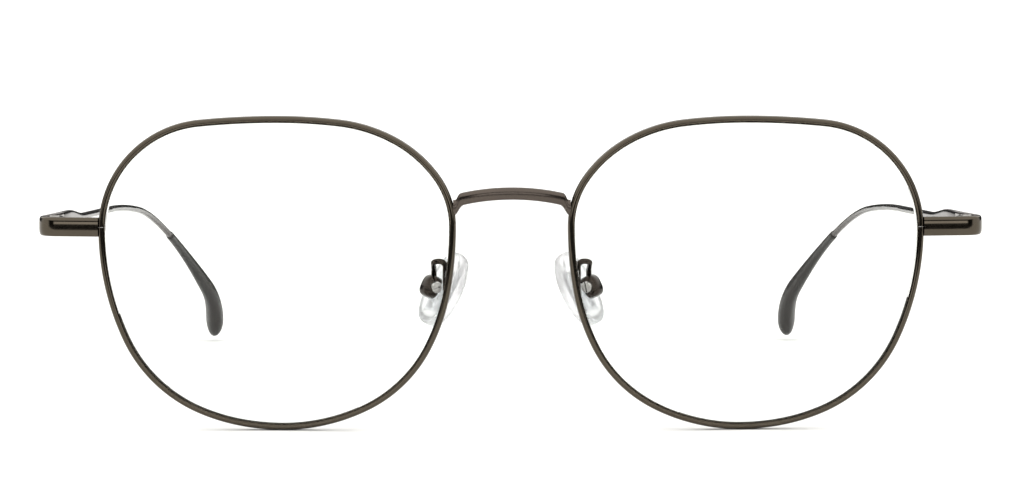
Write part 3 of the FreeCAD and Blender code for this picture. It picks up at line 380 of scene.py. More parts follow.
# %% The two eyewires
SPLIT_HIGH, SPLIT_GAP = 0.6456 * RIM_TALL, 0.08


def opened(points, height, gap):
    """A closed run of points cut open on its temple side, a gap apart about a height."""
    top, low = height + gap / 2, height - gap / 2
    outer = [n for n, p in enumerate(points) if p.x > RIM_WIDE / 2]
    above = min((n for n in outer if points[n].y > top), key=lambda n: points[n].y)
    run = points[above:] + points[:above]
    while run[-1].x > RIM_WIDE / 2 and run[-1].y > low and run[-1].y < top + 5:
        run.pop()
    first, last = run[0], run[-1]
    return [Vector((first.x, top))] + run + [Vector((last.x, low))]


def rim_place(side):
    """From a rim's own plane, with Z up and Y back, to the row."""
    return to_metres @ shift(side * RIM_GAP / 2, front_y, 0) @ turn("Z", side * RIM_WRAP)


stand_up = turn("X", 90)
for side, name in SIDES:
    points = opened(outline_points(RIM_BAND / 2), SPLIT_HIGH, SPLIT_GAP)
    line = [Vector((side * p.x, p.y, 0)) for p in points]
    if side < 0:
        line.reverse()
    wire = grow(name + "_eyewire", sweep, line, {
        "Across": RIM_BAND, "Deep": RIM_DEEP, "Roundness": RIM_ROUNDNESS, "Groove": 0.45,
        "Groove Mouth": 0.42, "Points Around": 56, "Finish": polished_gunmetal,
    })
    place = rim_place(side) @ shift(0, RIM_DEEP / 2, 0) @ stand_up
    add_piece(name + "_rim_wire", wire, place, "front", [name + "_eyewire"], crease=50)

# %% [markdown]
# ## The lenses
# A plain lens is a shallow shell: a domed front, a hollow back and, round its edge, a small bevel
# that sits in the rim's groove. It is built in rings. Each ring is the outline drawn in towards the
# middle, and pushed forward as far as the dome asks.

# %% The two lenses
LENS_RADIUS, LENS_THICK, LENS_AHEAD = 175.0, 1.8, 0.9
EDGE_INSET, BEVEL_TALL, BEVEL_HALF, LENS_RINGS = 1.13, 0.5, 0.42, 12


def dome(place, radius, middle):
    """How far back a dome of that radius stands, that far from the middle of the lens."""
    away = (place - middle).length
    return radius - math.sqrt(radius ** 2 - away ** 2)


def lens_mesh(side, name):
    rim_middle = RIM_DEEP / 2
    middle = Vector((RIM_WIDE / 2, RIM_TALL / 2))
    edge, crest = outline_points(EDGE_INSET), outline_points(EDGE_INSET - BEVEL_TALL)
    sag = dome(Vector((0, RIM_TALL / 2)), LENS_RADIUS, middle)
    front_apex = rim_middle - sag - LENS_AHEAD
    back_apex = front_apex + LENS_THICK
    shares = [(n + 1) / LENS_RINGS for n in range(LENS_RINGS)]
    rings = []
    for share in shares:
        inner = [middle.lerp(p, share) for p in edge]
        rings.append([(p, front_apex + dome(p, LENS_RADIUS, middle)) for p in inner])
    rings.append([(p, rim_middle - BEVEL_HALF) for p in edge])
    rings.append([(p, rim_middle) for p in crest])
    rings.append([(p, rim_middle + BEVEL_HALF) for p in edge])
    for share in reversed(shares):
        inner = [middle.lerp(p, share) for p in edge]
        rings.append([(p, back_apex + dome(p, LENS_RADIUS - LENS_THICK, middle)) for p in inner])
    points = [(side * p.x, depth, p.y) for ring in rings for p, depth in ring]
    count = len(edge)
    faces = []
    for r in range(len(rings) - 1):
        for n in range(count):
            after = (n + 1) % count
            faces.append((r * count + n, r * count + after, (r + 1) * count + after, (r + 1) * count + n))
    last = len(rings) - 1
    points += [(side * middle.x, front_apex, middle.y), (side * middle.x, back_apex, middle.y)]
    for n in range(count):
        after = (n + 1) % count
        faces.append((n, after, len(points) - 2))
        faces.append((last * count + n, last * count + after, len(points) - 1))
    mesh = bpy.data.meshes.new(name)
    mesh.from_pydata(points, [], faces)
    return mesh


for side, name in SIDES:
    mesh = lens_mesh(side, name + "_lens_shell")
    add_piece(name + "_lens_shell", mesh, rim_place(side), "front",
              [name + "_lens"], 30, cast_resin)

# %% [markdown]
# ## Pieces drawn through a run of sections
# The bridge, the temples and their tips all change their section on the way. Each is a row of
# rounded rectangles, from nearly square to round, set square to a centre line. One function joins
# such a row, and closes its ends.

# %% Rings, and the skin over them
def rounded_section(wide, tall, roundness, count=40):
    """A closed section: roundness 1 gives an ellipse, and less gives a squarer one."""
    ring = []
    for n in range(count):
        angle = 2 * math.pi * n / count
        c, s = math.cos(angle), math.sin(angle)
        ring.append((
            wide / 2 * math.copysign(abs(c) ** roundness, c),
            tall / 2 * math.copysign(abs(s) ** roundness, s),
        ))
    return ring


def skin(name, stations):
    """A closed mesh over sections, each given as (place, its wide way, its tall way, section)."""
    points, faces = [], []
    for place, wide_way, tall_way, section in stations:
        points += [place + wide_way * a + tall_way * b for a, b in section]
    count = len(stations[0][3])
    for r in range(len(stations) - 1):
        for n in range(count):
            after = (n + 1) % count
            faces.append((r * count + n, r * count + after, (r + 1) * count + after, (r + 1) * count + n))
    faces.append(tuple(range(count)))
    last = len(points) - count
    faces.append(tuple(range(last, last + count)))
    mesh = bpy.data.meshes.new(name)
    mesh.from_pydata(points, [], faces)
    return mesh


def ease(share):
    """From 0 to 1 with a level start and a level end."""
    share = min(max(share, 0.0), 1.0)
    return share * share * (3 - 2 * share)


# %% [markdown]
# The bridge is one short arch of half-round wire, bowed forward and up. Its ends turn back and
# down and spread into feet, which are brazed to the rims. Its top is brushed satin.

# %% The bridge
BRIDGE_HIGH, BRIDGE_TALL, BRIDGE_DEEP = 0.7565 * RIM_TALL, 1.85, 1.35
BRIDGE_REACH, BRIDGE_RISE, BRIDGE_BOW, BRIDGE_AHEAD = 7.2, 0.86, 1.3, 0.55
FOOT_TALL, FOOT_DEEP, FOOT_DROP, FOOT_REACH = 2.5, 1.5, 2.2, 8.62
ARCH_STEPS, FOOT_STEPS = 36, 9


def bridge_stations():
    drop = math.hypot(BRIDGE_RISE, BRIDGE_BOW)
    radius = (BRIDGE_REACH ** 2 + drop ** 2) / (2 * drop)
    half = math.asin(BRIDGE_REACH / radius)
    down, back = BRIDGE_RISE / drop, BRIDGE_BOW / drop
    stations = []

    def add(place, way, tall, deep):
        up = (Z_AXIS - way * Z_AXIS.dot(way)).normalized()
        stations.append((place, up.cross(way), up, rounded_section(deep, tall, 0.85, 48)))

    def on_arch(angle):
        away = radius * (1 - math.cos(angle))
        place = Vector((radius * math.sin(angle), away * back, -away * down))
        slope = math.sin(angle)
        return place, Vector((math.cos(angle), slope * back, -slope * down))

    arch = [on_arch(half * (2 * n / ARCH_STEPS - 1)) for n in range(ARCH_STEPS + 1)]

    def foot(side):
        place, way = arch[-1] if side > 0 else arch[0]
        goal = Vector((side * FOOT_REACH, BRIDGE_AHEAD + RIM_DEEP / 2, -FOOT_DROP))
        out = X_AXIS * side
        span = (goal - place).length
        run = []
        for n in range(1, FOOT_STEPS + 1):
            t = n / FOOT_STEPS
            a, b = place + way * side * span * 0.4, goal - out * span * 0.4
            spot = place * (1 - t) ** 3 + a * 3 * t * (1 - t) ** 2 + b * 3 * t * t * (1 - t) + goal * t ** 3
            grown = t ** 3
            heading = (way * side).lerp(out, t).normalized() * side
            run.append((spot, heading, BRIDGE_TALL + (FOOT_TALL - BRIDGE_TALL) * grown,
                        BRIDGE_DEEP + (FOOT_DEEP - BRIDGE_DEEP) * grown))
        return run

    for item in reversed(foot(-1)):
        add(*item)
    for place, way in arch:
        add(place, way, BRIDGE_TALL, BRIDGE_DEEP)
    for item in foot(1):
        add(*item)
    return stations


mesh = skin("bridge_arch", bridge_stations())
place = to_metres @ shift(0, front_y - BRIDGE_AHEAD, BRIDGE_HIGH)
add_piece("bridge_arch", mesh, place, "front", ["bridge"], 60, satin_gunmetal)

# %% [markdown]
# ## Endpieces
# At each temple side a strip leaves the rim, turns the corner and meets the temple at the hinge.
# It is pressed from flat bar, and its outer face is crowned like a pillow, which is why it catches
# a lamp in one broad band. It follows a path, so the same tree sweeps it.

# %% The two endpieces
STRIP_TALL, STRIP_THICK, STRIP_INNER = 2.85, 1.1, 1.25
CORNER_RADIUS, CORNER_STRAIGHT, ENDPIECE_SLANT, HINGE_OUT = 2.6, 0.2, 8.0, 6.62


def endpiece_path(side):
    """The centre line in the hinge's own frame: along the slant, round the corner, and back."""
    centre = Vector((STRIP_INNER + STRIP_THICK / 2 - CORNER_RADIUS, -CORNER_STRAIGHT, 0))
    slant = math.radians(ENDPIECE_SLANT)
    along = Vector((math.cos(slant), math.sin(slant), 0))
    bend = centre + Vector((math.sin(slant), -math.cos(slant), 0)) * CORNER_RADIUS
    start = bend - along * ((bend.x + HINGE_OUT + BRAZE) / along.x)
    points = [start.lerp(bend, n / 16) for n in range(16)]
    low = slant - math.pi / 2
    for n in range(25):
        angle = low * (1 - n / 24)
        points.append(centre + Vector((math.cos(angle), math.sin(angle), 0)) * CORNER_RADIUS)
    points.append(Vector((centre.x + CORNER_RADIUS, 0, 0)))
    return [Vector((side * p.x, p.y, 0)) for p in points]


for side, name in SIDES:
    strip = grow(name + "_endpiece", sweep, endpiece_path(side), {
        "Across": STRIP_THICK, "Deep": STRIP_TALL, "Roundness": 0.62, "Groove": 0.0,
        "Groove Mouth": 1.0, "Points Around": 56, "Finish": polished_gunmetal,
    })
    place = to_metres @ Matrix.Translation(joint_place[name + "_temple_fold"])
    add_piece(name + "_corner_strip", strip, place, "front", [name + "_endpiece"], 50)

# %% [markdown]
# ## Temples
# A temple starts as a flat strip beside the hinge, tapers over a finger's width into a round wire,
# runs straight, eases over, and bends down behind the ear. The bend leans inwards, as the side of
# a head does, and the last centimetre turns out again. The centre line is a rule, so a function
# gives its place and direction anywhere.

# %% The temple's centre line
STRIP_LONG, TAPER_LONG, WIRE_RADIUS = 20.5, 13.5, 0.53
BEND_TILT, TEMPLE_LEAN, TIP_START, TIP_END_HIGH = 22.7, 4.8, 106.8, 0.98
HOOK_LONG, HOOK_OUT = 11.2, 3.35

# the runs of the centre line: how long each is, and its radius, with None for a straight one
STRAIGHT, BEND_RADIUS = 60.0, 63.0
RUNS = ((STRAIGHT, None), (25.0, 275.0), (math.radians(47.1) * BEND_RADIUS, BEND_RADIUS), (0.6, None))
TEMPLE_LONG = sum(length for length, _ in RUNS)


def on_temple(along):
    """The centre line's place and direction, flat: along the temple, and up."""
    place, angle, start = Vector((0, 0)), 0.0, 0.0
    for run, radius in RUNS:
        length = min(along - start, run)
        if length <= 0:
            break
        if radius is None:
            place = place + Vector((math.cos(angle), -math.sin(angle))) * length
        else:
            after = angle + length / radius
            across = math.sin(after) - math.sin(angle)
            place = place + Vector((across, math.cos(after) - math.cos(angle))) * radius
            angle = after
        start += run
    return place, Vector((math.cos(angle), -math.sin(angle)))


def hook_at(along):
    """How far outward the tip's end has turned from the bend's plane, and its angle there."""
    past = max(along - TEMPLE_LONG + HOOK_LONG, 0.0) / HOOK_LONG
    return HOOK_OUT * past ** 2, math.degrees(math.atan(2 * HOOK_OUT * past / HOOK_LONG))


def temple_slope(hinge_high):
    """The slope that brings the tip's end down to the table."""
    end = on_temple(TEMPLE_LONG)[0]
    tilt = math.radians(BEND_TILT)
    drop = -end.y * math.cos(tilt) + HOOK_OUT * math.sin(tilt)
    total = math.asin((hinge_high - TIP_END_HIGH) / math.hypot(end.x, drop))
    return math.degrees(total - math.atan2(drop, end.x))


def temple_place(side, name):
    """From the temple's own frame, with Y along its straight, to the row."""
    pin = joint_place[name + "_temple_fold"]
    lean = turn("Z", side * TEMPLE_LEAN)
    out = STRIP_INNER + STRIP_THICK / 2
    start = Matrix.Translation(pin) @ lean @ shift(side * out, 0.04, 0)
    return to_metres @ start @ turn("X", -temple_slope(pin.z))


def temple_station(side, along, thick, broad, roundness, count=40):
    place, way = on_temple(along)
    out, angle = hook_at(along)
    tilt = turn("Y", side * BEND_TILT).to_3x3()
    spot = tilt @ Vector((side * out, place.x, place.y))
    ahead, broad_way = tilt @ Vector((0, way.x, way.y)), tilt @ Vector((0, -way.y, way.x))
    hook = math.radians(angle)
    thick_way = tilt @ X_AXIS * math.cos(hook) - ahead * side * math.sin(hook)
    return spot, thick_way, broad_way, rounded_section(thick, broad, roundness, count)


slope = temple_slope(joint_place["left_temple_fold"].z)
print("temple %.1f mm long, sloping %.2f degrees" % (TEMPLE_LONG, slope))

# %% [markdown]
# In the flat strip the section has to stand upright, and in the bend it has to lean with the
# bend's plane. A round wire looks the same either way, so the change is made there.

# %% The two temples
STRIP_ROUNDNESS, TAPER_STEPS, BEND_STEPS, WIRE_IN_TIP = 0.45, 16, 16, 2.0


def strip_station(along, thick, tall, roundness):
    return Vector((0, along, 0)), X_AXIS, Z_AXIS, rounded_section(thick, tall, roundness)


def temple_stations(side):
    wire = 2 * WIRE_RADIUS
    stations = [
        strip_station(0.0, STRIP_THICK * 0.8, STRIP_TALL * 0.92, 0.5),
        strip_station(0.12, STRIP_THICK, STRIP_TALL, STRIP_ROUNDNESS),
        strip_station(STRIP_LONG, STRIP_THICK, STRIP_TALL, STRIP_ROUNDNESS),
    ]
    for n in range(1, TAPER_STEPS + 1):
        share = n / TAPER_STEPS
        eased = ease(share)
        thick = STRIP_THICK + (wire - STRIP_THICK) * eased
        tall = STRIP_TALL + (wire - STRIP_TALL) * eased
        roundness = STRIP_ROUNDNESS + (1 - STRIP_ROUNDNESS) * eased
        stations.append(strip_station(STRIP_LONG + TAPER_LONG * share, thick, tall, roundness))
    stations.append(strip_station(STRAIGHT - 1, wire, wire, 1.0))
    bent = TIP_START + WIRE_IN_TIP - STRAIGHT
    for n in range(BEND_STEPS + 1):
        stations.append(temple_station(side, STRAIGHT + bent * n / BEND_STEPS, wire, wire, 1.0))
    return stations


for side, name in SIDES:
    mesh = skin(name + "_temple_wire", temple_stations(side))
    place = temple_place(side, name)
    add_piece(name + "_temple_wire", mesh, place, name + "_temple",
              [name + "_temple"], 60, drawn_gunmetal)

# %% [markdown]
# ## Temple tips
# The tip is a sleeve of acetate, pushed warm over the wire. It starts hardly thicker than the wire
# and grows, slowly and then faster, into a flat paddle with a round end that hooks outward. Its
# growth is written as a few sizes along its length, with a smooth curve through them.

# %% The two tips
TIP_MOUTH, TIP_THICK, TIP_BROAD = (1.3, 1.45), 3.05, 5.0

# how far along the sleeve, and the share of the growth to full thickness and full breadth
TIP_GROWTH = (
    (0.00, 0.00, 0.00),
    (0.20, 0.08, 0.09),
    (0.39, 0.27, 0.28),
    (0.56, 0.52, 0.53),
    (0.71, 0.76, 0.78),
    (0.82, 0.96, 0.96),
    (0.89, 1.00, 1.00),
)
TIP_ROUND_FROM = 0.89


def growth_at(share, column):
    """The growth at a share of the length, on a curve that passes smoothly through the sizes."""
    rows = TIP_GROWTH
    for index in range(len(rows) - 1):
        low, high = rows[index], rows[index + 1]
        if share <= high[0]:
            break
    else:
        return 1.0
    before, after = rows[max(index - 1, 0)], rows[min(index + 2, len(rows) - 1)]
    gap = high[0] - low[0]
    t = (share - low[0]) / gap
    rise_in = (high[column] - before[column]) / (high[0] - before[0]) * gap
    rise_out = (after[column] - low[column]) / (after[0] - low[0]) * gap
    return (
        (2 * t ** 3 - 3 * t ** 2 + 1) * low[column] + (t ** 3 - 2 * t ** 2 + t) * rise_in
        + (3 * t ** 2 - 2 * t ** 3) * high[column] + (t ** 3 - t ** 2) * rise_out
    )


def tip_stations(side):
    sleeve = TEMPLE_LONG - TIP_START
    shares = [n / 40 for n in range(37)]
    shares = [0.0, 0.004] + [s for s in shares if 0.01 < s < TIP_ROUND_FROM]
    shares += [TIP_ROUND_FROM + (1 - TIP_ROUND_FROM) * math.sin(math.pi / 2 * n / 14) for n in range(15)]
    stations = []
    for share in shares:
        thick = TIP_MOUTH[0] + (TIP_THICK - TIP_MOUTH[0]) * growth_at(share, 1)
        broad = TIP_MOUTH[1] + (TIP_BROAD - TIP_MOUTH[1]) * growth_at(share, 2)
        past = max(share - TIP_ROUND_FROM, 0) / (1 - TIP_ROUND_FROM)
        close = max(math.sqrt(max(1 - past ** 2, 0)), 0.03)
        if share == 0.0:
            close = 0.9
        along = TIP_START + share * sleeve
        stations.append(temple_station(side, along, thick * close, broad * close, 0.92, 48))
    return stations


for side, name in SIDES:
    mesh = skin(name + "_tip_sleeve", tip_stations(side))
    place = temple_place(side, name)
    add_piece(name + "_tip_sleeve", mesh, place, name + "_temple",
              [name + "_temple_tip"], 60, soft_acetate)

# %% [markdown]
# ## Nose pads
# A pad is an oval of clear silicone with a rounded face for the nose and a flatter back. It is
# moulded round a stiff insert, whose plate and tab show through it. The oval is drawn in rings:
# each is smaller the nearer it is to the rounded face.

# %% The two pads
PAD_OUTSET, PAD_BACK, PAD_HIGH, PAD_FRONTAL, PAD_SPLAY = 2.55, 6.5, 0.45 * RIM_TALL, 28.0, 30.0
PAD_LONG, PAD_WIDE, PAD_THICK, PAD_SOFT, PAD_HARD, SEAT_LOW = 11.6, 7.6, 2.6, 1.4, 0.4, 0.6


def pad_place(side):
    """From the pad's own frame, with Z up the pad, to the row."""
    spot = shift(side * (RIM_GAP / 2 + PAD_OUTSET), front_y + PAD_BACK, PAD_HIGH)
    return to_metres @ spot @ turn("Z", -side * PAD_SPLAY) @ turn("Y", -side * PAD_FRONTAL)


def pad_mesh(side, name):
    """Rings from the middle of the back, round the edge, to the middle of the nose face."""
    steps = []
    for n in range(4):
        steps.append((0.0, PAD_HARD + 3.2 * (1 - n / 3)))
    for n in range(1, 7):
        angle = math.pi / 2 * n / 6
        steps.append((PAD_HARD * (1 - math.cos(angle)), PAD_HARD * (1 - math.sin(angle))))
    for n in range(13):
        angle = math.pi / 2 * n / 12
        depth = PAD_THICK - PAD_SOFT + PAD_SOFT * math.sin(angle)
        steps.append((depth, PAD_SOFT * (1 - math.cos(angle))))
    for n in range(1, 4):
        steps.append((PAD_THICK, PAD_SOFT + (3.6 - PAD_SOFT) * n / 3))
    stations = []
    for depth, inset in steps:
        section = rounded_section(PAD_WIDE - 2 * inset, PAD_LONG - 2 * inset, 0.93, 64)
        # a pad is a little narrower above than below
        shaped = [(a * (1 - 0.09 * b / (PAD_LONG / 2)), b) for a, b in section]
        stations.append((X_AXIS * -side * depth, Y_AXIS, Z_AXIS, shaped))
    return skin(name, stations)


for side, name in SIDES:
    mesh = pad_mesh(side, name + "_silicone_pad")
    add_piece(name + "_silicone_pad", mesh, pad_place(side), name + "_nose_pad",
              [name + "_nose_pad"], 60, clear_silicone)

# %% [markdown]
# ## Pad arms
# Each pad hangs on a bent wire, shaped like a goose's neck: brazed low on the back of the rim, up
# and over a small loop, and down into the pad's cup. The loop is what an optician bends to fit a
# nose. The wire follows a path with rounded corners, so the tree sweeps a round section along it.

# %% The path with rounded corners
ARM_RADIUS, ARM_LOOP, ARM_STEPS = 0.42, 0.85, 8


def with_round_corners(corners, radius):
    points = [corners[0]]
    for before, corner, after in zip(corners, corners[1:], corners[2:]):
        way_in, way_out = (corner - before).normalized(), (after - corner).normalized()
        half_turn = way_in.angle(way_out) / 2
        leg = radius * math.tan(half_turn)
        first, last = corner - way_in * leg, corner + way_out * leg
        centre = corner + (way_out - way_in).normalized() * (radius / math.cos(half_turn))
        axis = (first - centre).cross(last - centre).normalized()
        for n in range(ARM_STEPS + 1):
            bend = Matrix.Rotation(2 * half_turn * n / ARM_STEPS, 3, axis)
            points.append(centre + bend @ (first - centre))
    return points + [corners[-1]]


# %% The two pad arms
BOX_GAP, BOX_DEEP, BOX_WIDE, BOX_TALL = 0.4, 2.15, 3.0, 3.4
ARM_FOOT_LOW, ARM_LOOP_HIGH, ARM_LOOP_WIDE, ARM_IN_BAND, ARM_ELBOW_HIGH = 0.8, 4.0, 1.78, 0.6, 1.0


def nose_edge(height):
    """How far the rim's nose edge is from the middle of the pair, at a height."""
    near = [p for p in outline if p.x < RIM_WIDE / 2]
    return RIM_GAP / 2 + min(near, key=lambda p: abs(p.y - height)).x


def arm_corners(side):
    box_top = Vector((side * (BOX_GAP + BOX_DEEP / 2), 0, BOX_TALL / 2 - SEAT_LOW - BRAZE))
    socket = to_metres.inverted() @ pad_place(side) @ box_top
    rim_back = front_y + RIM_DEEP + ARM_RADIUS - BRAZE
    foot_high, loop_high = PAD_HIGH - ARM_FOOT_LOW, PAD_HIGH + ARM_LOOP_HIGH
    foot_across = nose_edge(foot_high) + ARM_IN_BAND
    return [
        Vector((side * foot_across, rim_back, foot_high)),
        Vector((side * foot_across, rim_back + 1.5 * ARM_RADIUS, loop_high)),
        Vector((side * (foot_across + ARM_LOOP_WIDE), rim_back + 2 * ARM_RADIUS, loop_high)),
        socket + Vector((0, -ARM_RADIUS, ARM_ELBOW_HIGH)),
        socket,
    ]


# the arms take the darker copy of the plate, whose darkness is painted shade
for side, name in SIDES:
    path = with_round_corners(arm_corners(side), ARM_LOOP)
    wire = grow(name + "_pad_arm", sweep, path, {
        "Across": 2 * ARM_RADIUS, "Deep": 2 * ARM_RADIUS, "Roundness": 1.0, "Groove": 0.0,
        "Groove Mouth": 1.0, "Points Around": 24, "Finish": shade_painted_gunmetal,
    })
    add_piece(name + "_gooseneck", wire, to_metres, "front", [name + "_pad_arm"], 60)

# %% [markdown]
# Behind each pad the wire ends in a small cup, which holds the insert's tab between its walls. It
# is stamped and tumbled, so it is round all over and shines like a drop. It is drawn in rings: out
# along the inner wall, over the lip, and back along the outer wall to a domed end.

# %% The two pad cups
CUP_WALL, DOME_FROM, DOME_POWER = 0.36, 1.35, 2.6


def cup_mesh(side, name):
    wide, tall = BOX_WIDE - 3 * CUP_WALL, BOX_TALL - 2 * CUP_WALL
    rings = [
        (BOX_GAP + BOX_DEEP - 0.45, wide, tall, 0.42),
        (BOX_GAP + 0.08, wide, tall, 0.42),
        (BOX_GAP, wide + 0.2, tall + 0.2, 0.5),
        (BOX_GAP, BOX_WIDE - 0.3, BOX_TALL - 0.3, 0.62),
        (BOX_GAP + 0.15, BOX_WIDE, BOX_TALL, 0.62),
    ]
    dome_long = BOX_DEEP + BOX_GAP - DOME_FROM
    for n in range(15):
        past = math.sin(math.pi / 2 * n / 14)
        close = max((1 - past ** DOME_POWER) ** (1 / DOME_POWER), 0.04)
        rings.append((DOME_FROM + dome_long * past, BOX_WIDE * close, BOX_TALL * close, 0.62))
    stations = []
    for out, wide, tall, roundness in rings:
        spot = X_AXIS * side * out - Z_AXIS * SEAT_LOW
        stations.append((spot, Y_AXIS, Z_AXIS, rounded_section(wide, tall, roundness, 48)))
    return skin(name, stations)


# the cups take the darker copy of the plate, whose darkness is painted shade
for side, name in SIDES:
    mesh = cup_mesh(side, name + "_pad_cup")
    add_piece(name + "_pad_cup", mesh, pad_place(side), "front",
              [name + "_pad_box"], 50, shade_painted_gunmetal)

# %% [markdown]
# ## Screws
# Six small slotted screws hold the pair together: two close the rims, two are the hinges' pins and
# two hold the pads. They differ only in size, so one tree makes them all: a shank, a head with a
# softened rim, and a slot cut across it, set on points that each carry a direction.

# %% A tree that sets screws on points
def screw_tree():
    tree = bpy.data.node_groups.new("slotted_screws", "GeometryNodeTree")
    face = tree.interface
    face.new_socket("Points", in_out="INPUT", socket_type="NodeSocketGeometry")
    for name in ("Shank Radius", "Shank Long", "Head Radius", "Head Tall", "Slot Wide"):
        face.new_socket(name, in_out="INPUT", socket_type="NodeSocketFloat")
    face.new_socket("Finish", in_out="INPUT", socket_type="NodeSocketMaterial")
    face.new_socket("Mesh", in_out="OUTPUT", socket_type="NodeSocketGeometry")
    given = add_node(tree, "NodeGroupInput").outputs

    def sum_of(operation, *values):
        numbers = dict(enumerate(values))
        return add_node(tree, "ShaderNodeMath", numbers, operation=operation).outputs[0]

    def raised(geometry, height):
        place = add_node(tree, "ShaderNodeCombineXYZ", {2: height}).outputs[0]
        moved = {"Geometry": geometry, "Translation": place}
        return add_node(tree, "GeometryNodeTransform", moved).outputs[0]

    def of_head(share):
        return sum_of("MULTIPLY", given["Head Tall"], share)

    # the shank hangs below the point, and reaches a little into the head
    shank = add_node(tree, "GeometryNodeMeshCylinder", {
        "Vertices": 32, "Radius": given["Shank Radius"],
        "Depth": sum_of("ADD", given["Shank Long"], of_head(0.4)),
    }).outputs[0]
    half_shank = sum_of("MULTIPLY", given["Shank Long"], 0.5)
    shank = raised(shank, sum_of("SUBTRACT", of_head(0.2), half_shank))
    lower, upper = [
        add_node(tree, "GeometryNodeMeshCone", {
            "Vertices": 48, "Radius Bottom": given["Head Radius"], "Radius Top": top,
            "Depth": of_head(tall),
        }).outputs[0]
        for top, tall in (
            (given["Head Radius"], 0.65), (sum_of("MULTIPLY", given["Head Radius"], 0.8), 0.35),
        )
    ]
    upper = raised(upper, of_head(0.65))
    both = add_node(tree, "GeometryNodeJoinGeometry")
    for part in (lower, upper):
        tree.links.new(part, both.inputs[0])
    head = add_node(tree, "GeometryNodeMergeByDistance", {"Geometry": both.outputs[0], "Distance": 0.001})
    slot_size = add_node(tree, "ShaderNodeCombineXYZ", {
        0: sum_of("MULTIPLY", given["Head Radius"], 3.0), 1: given["Slot Wide"], 2: given["Head Tall"],
    }).outputs[0]
    slot = raised(add_node(tree, "GeometryNodeMeshCube", {"Size": slot_size}).outputs[0], given["Head Tall"])
    whole = add_node(tree, "GeometryNodeMeshBoolean", operation="UNION")
    for part in (shank, head.outputs[0]):
        tree.links.new(part, whole.inputs["Mesh 2"])
    cut = add_node(tree, "GeometryNodeMeshBoolean", operation="DIFFERENCE")
    tree.links.new(whole.outputs[0], cut.inputs["Mesh 1"])
    tree.links.new(slot, cut.inputs["Mesh 2"])
    ways = add_node(tree, "GeometryNodeInputNamedAttribute", {"Name": "turn"}, data_type="FLOAT_VECTOR")
    turns = add_node(tree, "FunctionNodeEulerToRotation", {0: ways.outputs[0]})
    points = add_node(tree, "GeometryNodeMeshToPoints", {0: given["Points"]})
    placed = add_node(tree, "GeometryNodeInstanceOnPoints", {
        "Points": points.outputs[0], "Instance": cut.outputs[0], "Rotation": turns.outputs[0],
    })
    real = add_node(tree, "GeometryNodeRealizeInstances", {0: placed.outputs[0]})
    finished = add_node(
        tree, "GeometryNodeSetMaterial", {"Geometry": real.outputs[0], "Material": given["Finish"]}
    )
    add_node(tree, "NodeGroupOutput", {0: finished.outputs[0]})
    return tree


screws = screw_tree()
print("tree:", screws.name, "with", len(screws.nodes), "nodes")

# %% [markdown]
# Each screw's head stands where its CAD twin does. The hinge and rim screws are upright, and the
# pad screws lie across the pad. A slot stops wherever the driver left it, so each is turned by its
# own amount. A row of the table gives a screw's name, its place, the radius and length of its
# shank, the radius and height of its head, and the driver's last turn on either side.

# %% Six screws
LOCK_WIDE, LOCK_DEEP, LOCK_TALL, LOCK_HEAD, LOCK_GAP = 2.6, 1.8, 1.15, 0.45, 0.25
PIN_IN_BOX, SLOT_WIDE = 0.8, 0.25

# half the temple's knuckle, the gap over it, and the front's knuckle; then how far the head is sunk
KNUCKLE_HIGH, HEAD_SUNK = 0.45 + 0.04 + 0.9, 0.35


def hinge_screw_spot(side, name):
    return Matrix.Translation(joint_place[name + "_temple_fold"]) @ shift(0, 0, KNUCKLE_HIGH - HEAD_SUNK)


def rim_screw_spot(side, name):
    slant = math.radians(ENDPIECE_SLANT)
    along = Vector((math.cos(slant), math.sin(slant), 0))
    start = endpiece_path(1)[0] + Vector((-along.y, along.x, 0)) * (STRIP_THICK + LOCK_DEEP) / 2
    start += along * (LOCK_WIDE / 2 - BRAZE / 2)
    head_low = LOCK_GAP / 2 + LOCK_TALL - LOCK_HEAD
    centre = joint_place[name + "_temple_fold"] + Vector((side * start.x, start.y, head_low))
    return Matrix.Translation(centre)


def pad_screw_spot(side, name):
    in_cup = shift(side * (BOX_GAP + PIN_IN_BOX), 0, -SEAT_LOW)
    spot = to_metres.inverted() @ pad_place(side) @ in_cup @ turn("X", 90)
    return spot @ shift(0, 0, BOX_WIDE / 2)


SCREWS = (
    ("hinge_screw", hinge_screw_spot, 0.7, 2.43, 0.9, 0.45, (35, -20)),
    ("rim_screw", rim_screw_spot, 0.45, 2.1, 0.68, 0.45, (60, 15)),
    ("pad_screw", pad_screw_spot, 0.5, 3.0, 0.85, 0.45, (75, 40)),
)
for kind, spot_of, shank_radius, shank_long, head_radius, head_tall, driver_turns in SCREWS:
    spots = [spot_of(side, name) @ turn("Z", angle) for (side, name), angle in zip(SIDES, driver_turns)]
    pair = grow(kind, screws, [spot.to_translation() for spot in spots], {
        "Shank Radius": shank_radius, "Shank Long": shank_long, "Head Radius": head_radius,
        "Head Tall": head_tall, "Slot Wide": SLOT_WIDE, "Finish": turned_steel,
    }, turns=[Vector(spot.to_euler()) for spot in spots])
    add_piece(kind + "s", pair, to_metres, "front", ["left_" + kind, "right_" + kind], 30)

# %% [markdown]
# ## Small parts from CAD
# The hinge leaves, the rim's closing blocks and the pad inserts already have their
# true shape. What a CAD edge lacks is the tiny round that tumbling leaves, which is what catches
# the light. So each is copied, its loose triangles are merged and its flat faces joined, and a
# small bevel softens its edges.

